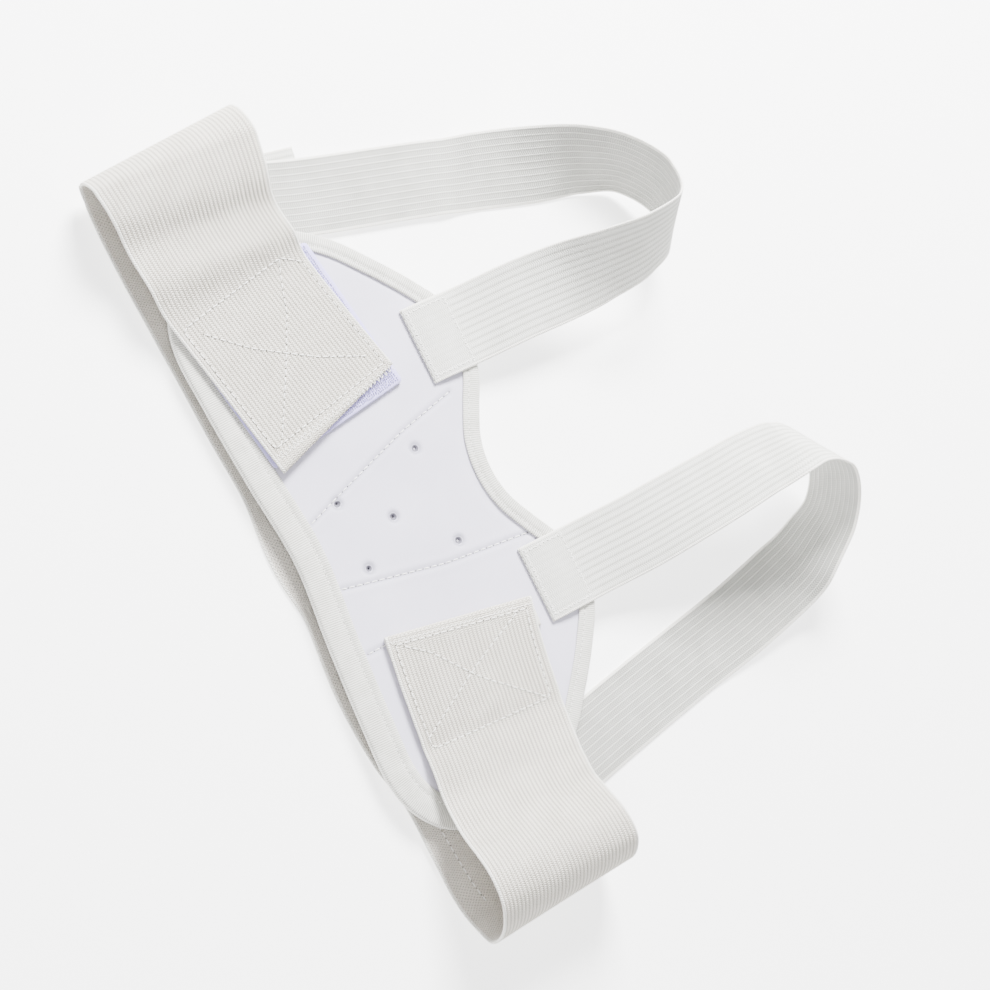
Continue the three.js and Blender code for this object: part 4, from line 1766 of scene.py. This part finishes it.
RIGHT_LEG_ROWS = (
    (0, 1, 0.02, Level.LEG_ON_RIM, 0, 0, 0),
    (0, 1, 0.2, Level.LEG_ON_RIM, 0.14, 0, 4),
    (-0.015, 1, 0.41, Level.LEG_ON_RIM, 0.4, 1, 15),
    (-0.03, 1, 0.57, Level.LEG_ON_RIM, 0.62, 2, 23),
    (-0.045, 1, 0.72, Level.LEG_ON_RIM, 0.82, 4, 31),
    (-0.045, 1, 0.85, Level.LEG_ON_RIM, 0.94, 4, 42),
    (0.06, 1, 0.99, Level.LEG_ON_RIM, 0.5, 2, 52),
    (0.24, 1, 1.01, Level.LEG_ON_TABLE, 0.34, -2, 57),
    (0.37, 1, 0.97, Level.LEG_ON_TABLE, 0.11, -4, 54),
    (0.46, 1, 0.88, Level.LEG_ON_TABLE, 0.01, -6, 38),
    (0.54, 1, 0.775, Level.LEG_ON_TABLE, 0, -8, 16),
    (0.63, 1, 0.52, Level.LEG_ON_TABLE, 0, -10, 4),
    (0.69, 1, 0.25, Level.LEG_ON_TABLE, 0, -10, 0),
    (0.735, 1, 0.04, Level.LEG_ON_TABLE, 0, -10, 0),
    (0.8, 0.57, 0, Level.LEG_ON_TABLE, 0, -11, 0),
    (0.9, -0.1, 0, Level.LEG_ON_TABLE, 0, -12, 0),
    (1, -0.63, 0, Level.LEG_ON_TABLE, 0, -12, 0),
)


@dataclass
class LegStrap:
    """Narrow elastic from a tab on the lobe, through a leaning loop, to its end under the band."""

    bench: Bench
    layers: Layers
    panel: FrontPanel
    side: Side
    rows: tuple[tuple, ...]
    place: float
    reach: float
    spread: float
    rise: float
    width: float = 38
    tab_length: float = 25
    ramp: float = 15
    dense_ramp: float = 5
    stitch_lift: float = 0.16
    zigzag_wide: float = 2.6
    zigzag_step: float = 1.3
    step: float = 1.6
    tail: TurnBack | None = None

    def ribs(self) -> Ribs:
        """Ribs of the strap."""
        return Ribs(width=self.width, thickness=self.layers.leg, count=11, selvedge=1.3,
                    shares=(0, 0.09, 0.2, 0.5, 0.8, 0.91), groove=0.13, narrow=0.24,
                    inner_line=0.22)

    def _path(self) -> StripPath:
        """Works out the strap's rows.

        Returns:
            The strap's path in millimetres.
        """
        middle = self.place * self.panel.length / 2
        flat = 180 if self.side is Side.LEFT else 0
        depth = self.panel.leg_depth
        tab = ((self.tab_length, Level.LEG_ON_PANEL), (self.ramp, Level.LEG_ON_RIM))
        rows = [
            (middle, depth - back, self.layers.middle(level), flat, 0, self.width)
            for back, level in tab
        ]
        for out, panel, past, level, lift, turn, lean in self.rows:
            rows.append((
                middle + self.side.value * out * self.spread,
                panel * depth + past * self.reach,
                mix(self.layers.middle(level), self.rise, lift),
                flat + turn,
                lean,
                self.width,
            ))
        return StripPath(tuple(rows), self.step)

    def _zigzag(self, start: float, low: float, high: float) -> list[tuple[float, float]]:
        """Draws a zigzag row.

        Args:
            start: Where its near side is.
            low: Where the row begins.
            high: Where the row ends.

        Returns:
            Its corners.
        """
        wide, step = self.zigzag_wide, self.zigzag_step
        count = math.floor((high - low) / step) + 1
        return [(start + wide * (k % 2), low + step * k) for k in range(count)]

    def build(self, outer: bpy.types.Material, inner: bpy.types.Material, thread: Thread) -> None:
        """Makes the strap and the stitching on its tab.

        Args:
            outer: Finish of the outer face.
            inner: Finish of the inner face, darkened with painted shade.
            thread: Thread of the tab.
        """
        name = f"leg_strap_{self.side.name.lower()}"
        open_run = self._path().run()
        run = self.tail.add(open_run) if self.tail else open_run
        outer_up = self.side is Side.RIGHT
        tab_end = self.tab_length + 1
        ribbed = smoothstep(run.along, tab_end - self.dense_ramp, tab_end)
        plan = self.ribs().plan(run, outer_up, ribbed, lambda along, place: 0 * (along + place))
        piece = plan.build(f"{name}_elastic", self.bench, [outer, inner])
        attach(piece, name)
        up = self.layers.leg / 2 + self.stitch_lift
        up = up if outer_up else -up
        half = self.width / 2 - 1.6
        last, wide = self.tab_length - 1, self.zigzag_wide
        rows = [self._zigzag(start, -half, half) for start in (1.0, last - wide)]
        sides = [self._zigzag(side, 2.0, last) for side in (-half, half - wide)]
        lines = []
        for corners in (*rows, *([(y, x) for x, y in side] for side in sides)):
            flat = polyline(corners)
            share = flat[:, 1] / self.width
            points = open_run.place(flat[:, 0], share, np.full(len(flat), up))
            above = open_run.place(flat[:, 0], share, np.full(len(flat), up * 2))
            normal = (above - points) / abs(up)
            lines.append(np.column_stack([points, normal]))
        sewn = thread.sew(f"{name}_tab", lines, self.bench)
        self.width * MM
        run.length * MM
        LOG.info("%s: %.0f mm long", name, run.length)


@dataclass(frozen=True)
class Studio:
    """Camera at the photograph's angle, soft light and a plain pale floor."""

    place: tuple[float, float, float] = (0.01793, -0.38741, 0.83019)
    tilt: float = 24.0
    roll_side: float = 0.4446
    roll_up: float = 0.8957
    lens: float = 69.93
    sensor: float = 36.0
    floor_size: float = 8.0
    floor_tone: float = 0.85
    floor_glow: float = 2.2
    surround: float = 0.9

    def camera(self) -> None:
        """Puts the camera where the photograph was taken from."""
        data = bpy.data.cameras.new("camera")
        data.lens = self.lens
        data.sensor_width = self.sensor
        data.sensor_fit = "HORIZONTAL"
        data.clip_start = 0.01
        body = bpy.data.objects.new("camera", data)
        lean = math.radians(self.tilt)
        side, up_share = self.roll_side, self.roll_up
        right = Vector((side, up_share * math.cos(lean), up_share * math.sin(lean)))
        up = Vector((-up_share, side * math.cos(lean), side * math.sin(lean)))
        back = right.cross(up)
        turned = Matrix((right.normalized(), up.normalized(), back.normalized())).transposed()
        body.matrix_world = Matrix.Translation(self.place) @ turned.to_4x4()
        bpy.context.scene.collection.objects.link(body)
        bpy.context.scene.camera = body

    def light(self) -> None:
        """Hangs large soft lights and a pale surround."""
        world = bpy.data.worlds.new("pale_surround")
        world.use_nodes = True
        background = world.node_tree.nodes["Background"]
        background.inputs["Color"].default_value = (1.0, 1.0, 1.0, 1.0)
        background.inputs["Strength"].default_value = self.surround
        bpy.context.scene.world = world
        for name, spot, size, power in (
            ("key", (-0.92, 0.5, 0.9), 0.5, 132.0),
            ("fill", (0.7, -0.6, 1.4), 1.2, 20.0),
        ):
            data = bpy.data.lights.new(name, "AREA")
            data.shape = "SQUARE"
            data.size = size
            data.energy = power
            lamp = bpy.data.objects.new(name, data)
            lamp.location = spot
            lamp.rotation_euler = (-Vector(spot)).to_track_quat("-Z", "Y").to_euler()
            bpy.context.scene.collection.objects.link(lamp)

    def floor(self) -> None:
        """Lays a plain pale floor."""
        bpy.ops.object.select_all(action="DESELECT")
        bpy.ops.mesh.primitive_plane_add(size=self.floor_size)
        plane = bpy.context.active_object
        plane.name = "floor"
        g = Graph("pale_floor")
        tone = self.floor_tone
        for name, value in (
            ("Base Color", (tone, tone, tone, 1.0)),
            ("Roughness", 0.9),
            ("Emission Color", (1.0, 1.0, 1.0, 1.0)),
            ("Emission Strength", self.floor_glow),
        ):
            g.shader.inputs[name].default_value = value
        plane.data.materials.append(g.material)


def find_bench(panel: FrontPanel) -> Bench:
    """Finds where the panel's own frame lies in the library's frame.

    Args:
        panel: The panel, for its outline.

    Returns:
        The shift in millimetres.
    """
    low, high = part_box("front_panel")
    rim, _ = panel.outline(RIM_POINTS)
    middle = (rim.min(axis=0) + rim.max(axis=0)) / 2
    x, y = ((low[k] + high[k]) / 2 / MM - middle[k] for k in (0, 1))
    return Bench(float(x), float(y))


def main() -> None:
    """Builds the belt piece by piece and logs face counts of the panel and hooks and the lengths of
    the band and leg straps.
    """
    logging.basicConfig(level=logging.INFO, format="%(message)s")
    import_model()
    studio = Studio()
    studio.camera()
    studio.light()
    studio.floor()
    layers = Layers()
    panel = FrontPanel(Bench(0, 0), layers)
    bench = find_bench(panel)
    LOG.info("panel frame at %.3f, %.3f mm", bench.x, bench.y)
    panel = FrontPanel(bench, layers)
    plain = {
        name: PlainFinish(name, *looks).dress()
        for name, *looks in (
            # Needle holes: dark as painted shade in them
            ("needle_hole_shade", (150, 148, 142), (96, 94, 90), 3000.0, 0.02, 0.95, 0.0),
            ("white_thread", (252, 251, 249), (238, 237, 233), 2400.0, 0.05),
            # Foam in the air holes: darkened as painted shade inside them
            ("foam_painted_shade", (128, 126, 138), (84, 82, 92), 1800.0, 0.08, 0.95, 0.0),
            ("lilac_backing", (200, 193, 240), (176, 168, 226), 900.0, 0.05),
            ("lilac_hooks", (228, 222, 252), (170, 161, 222), 700.0, 0.03),
        )
    }
    thread = Thread(plain["white_thread"], plain["needle_hole_shade"])
    fine_thread = replace(thread, length=1.9, spacing=2.6, thickness=0.3, hole_width=0.4)
    seam_thread = replace(thread, length=3.0, spacing=3.7)
    box_thread = replace(seam_thread, thickness=0.54, sag=0.32, hole_width=0.72)
    edging = replace(fine_thread, thickness=0.42, hole_width=0)
    panel.build(LaminateFinish().dress(), plain["foam_painted_shade"], seam_thread)
    EdgeBinding(bench, layers, panel).build(TapeFinish().dress(), fine_thread)
    band = WaistBand(bench, layers, panel)
    band_outer = ElasticFinish(
        name="warm_elastic_outer", ribs=band.ribs(), weave=Weave.RIBBED, light=(233, 228, 218),
        shade=(158, 151, 139), pinhole=(102, 96, 86), stitch=1.0, relief=0.26, dots=0.6,
        chevrons=0.42,
    )
    # Inner face: its own honeycomb knit, toned darker as painted shade for the back strip and the
    # loops' insides
    band_inner_shaded = replace(
        band_outer, name="warm_elastic_inner_shaded", weave=Weave.HONEYCOMB, light=(224, 218, 209),
        shade=(178, 172, 162), dots=0.75, chevrons=0.0, fuzz=0.7, stitch=1.3,
    )
    band.build(band_outer.dress(), band_inner_shaded.dress(), box_thread, edging)
    HookPatch(bench, layers, panel).build(plain["lilac_backing"], plain["lilac_hooks"])
    left = LegStrap(bench, layers, panel, Side.LEFT, LEFT_LEG_ROWS, place=-0.452, reach=127,
                    spread=100, rise=22, tail=TurnBack(layers.leg_layer / 2, length=57, swing=5))
    right = LegStrap(bench, layers, panel, Side.RIGHT, RIGHT_LEG_ROWS, place=0.403, reach=134,
                     spread=97, rise=34)
    leg_outer = ElasticFinish(
        name="plain_elastic_outer", ribs=left.ribs(), weave=Weave.RIBBED, light=(226, 226, 221),
        shade=(176, 176, 169), pinhole=(132, 132, 126), stitch=1.0, relief=0.14, dots=0.3,
        chevrons=0.3,
    )
    # Inner face: its own lined knit, darker than the outer as painted shade for the loops' insides
    leg_inner_shaded = replace(leg_outer, name="plain_elastic_inner_shaded", weave=Weave.LINED,
                        light=(212, 212, 207), shade=(134, 134, 128), dots=0.0)
    outer, inner = leg_outer.dress(), leg_inner_shaded.dress()
    left.build(outer, inner, edging)
    right.build(outer, inner, edging)


if __name__ == "__main__":
    main()
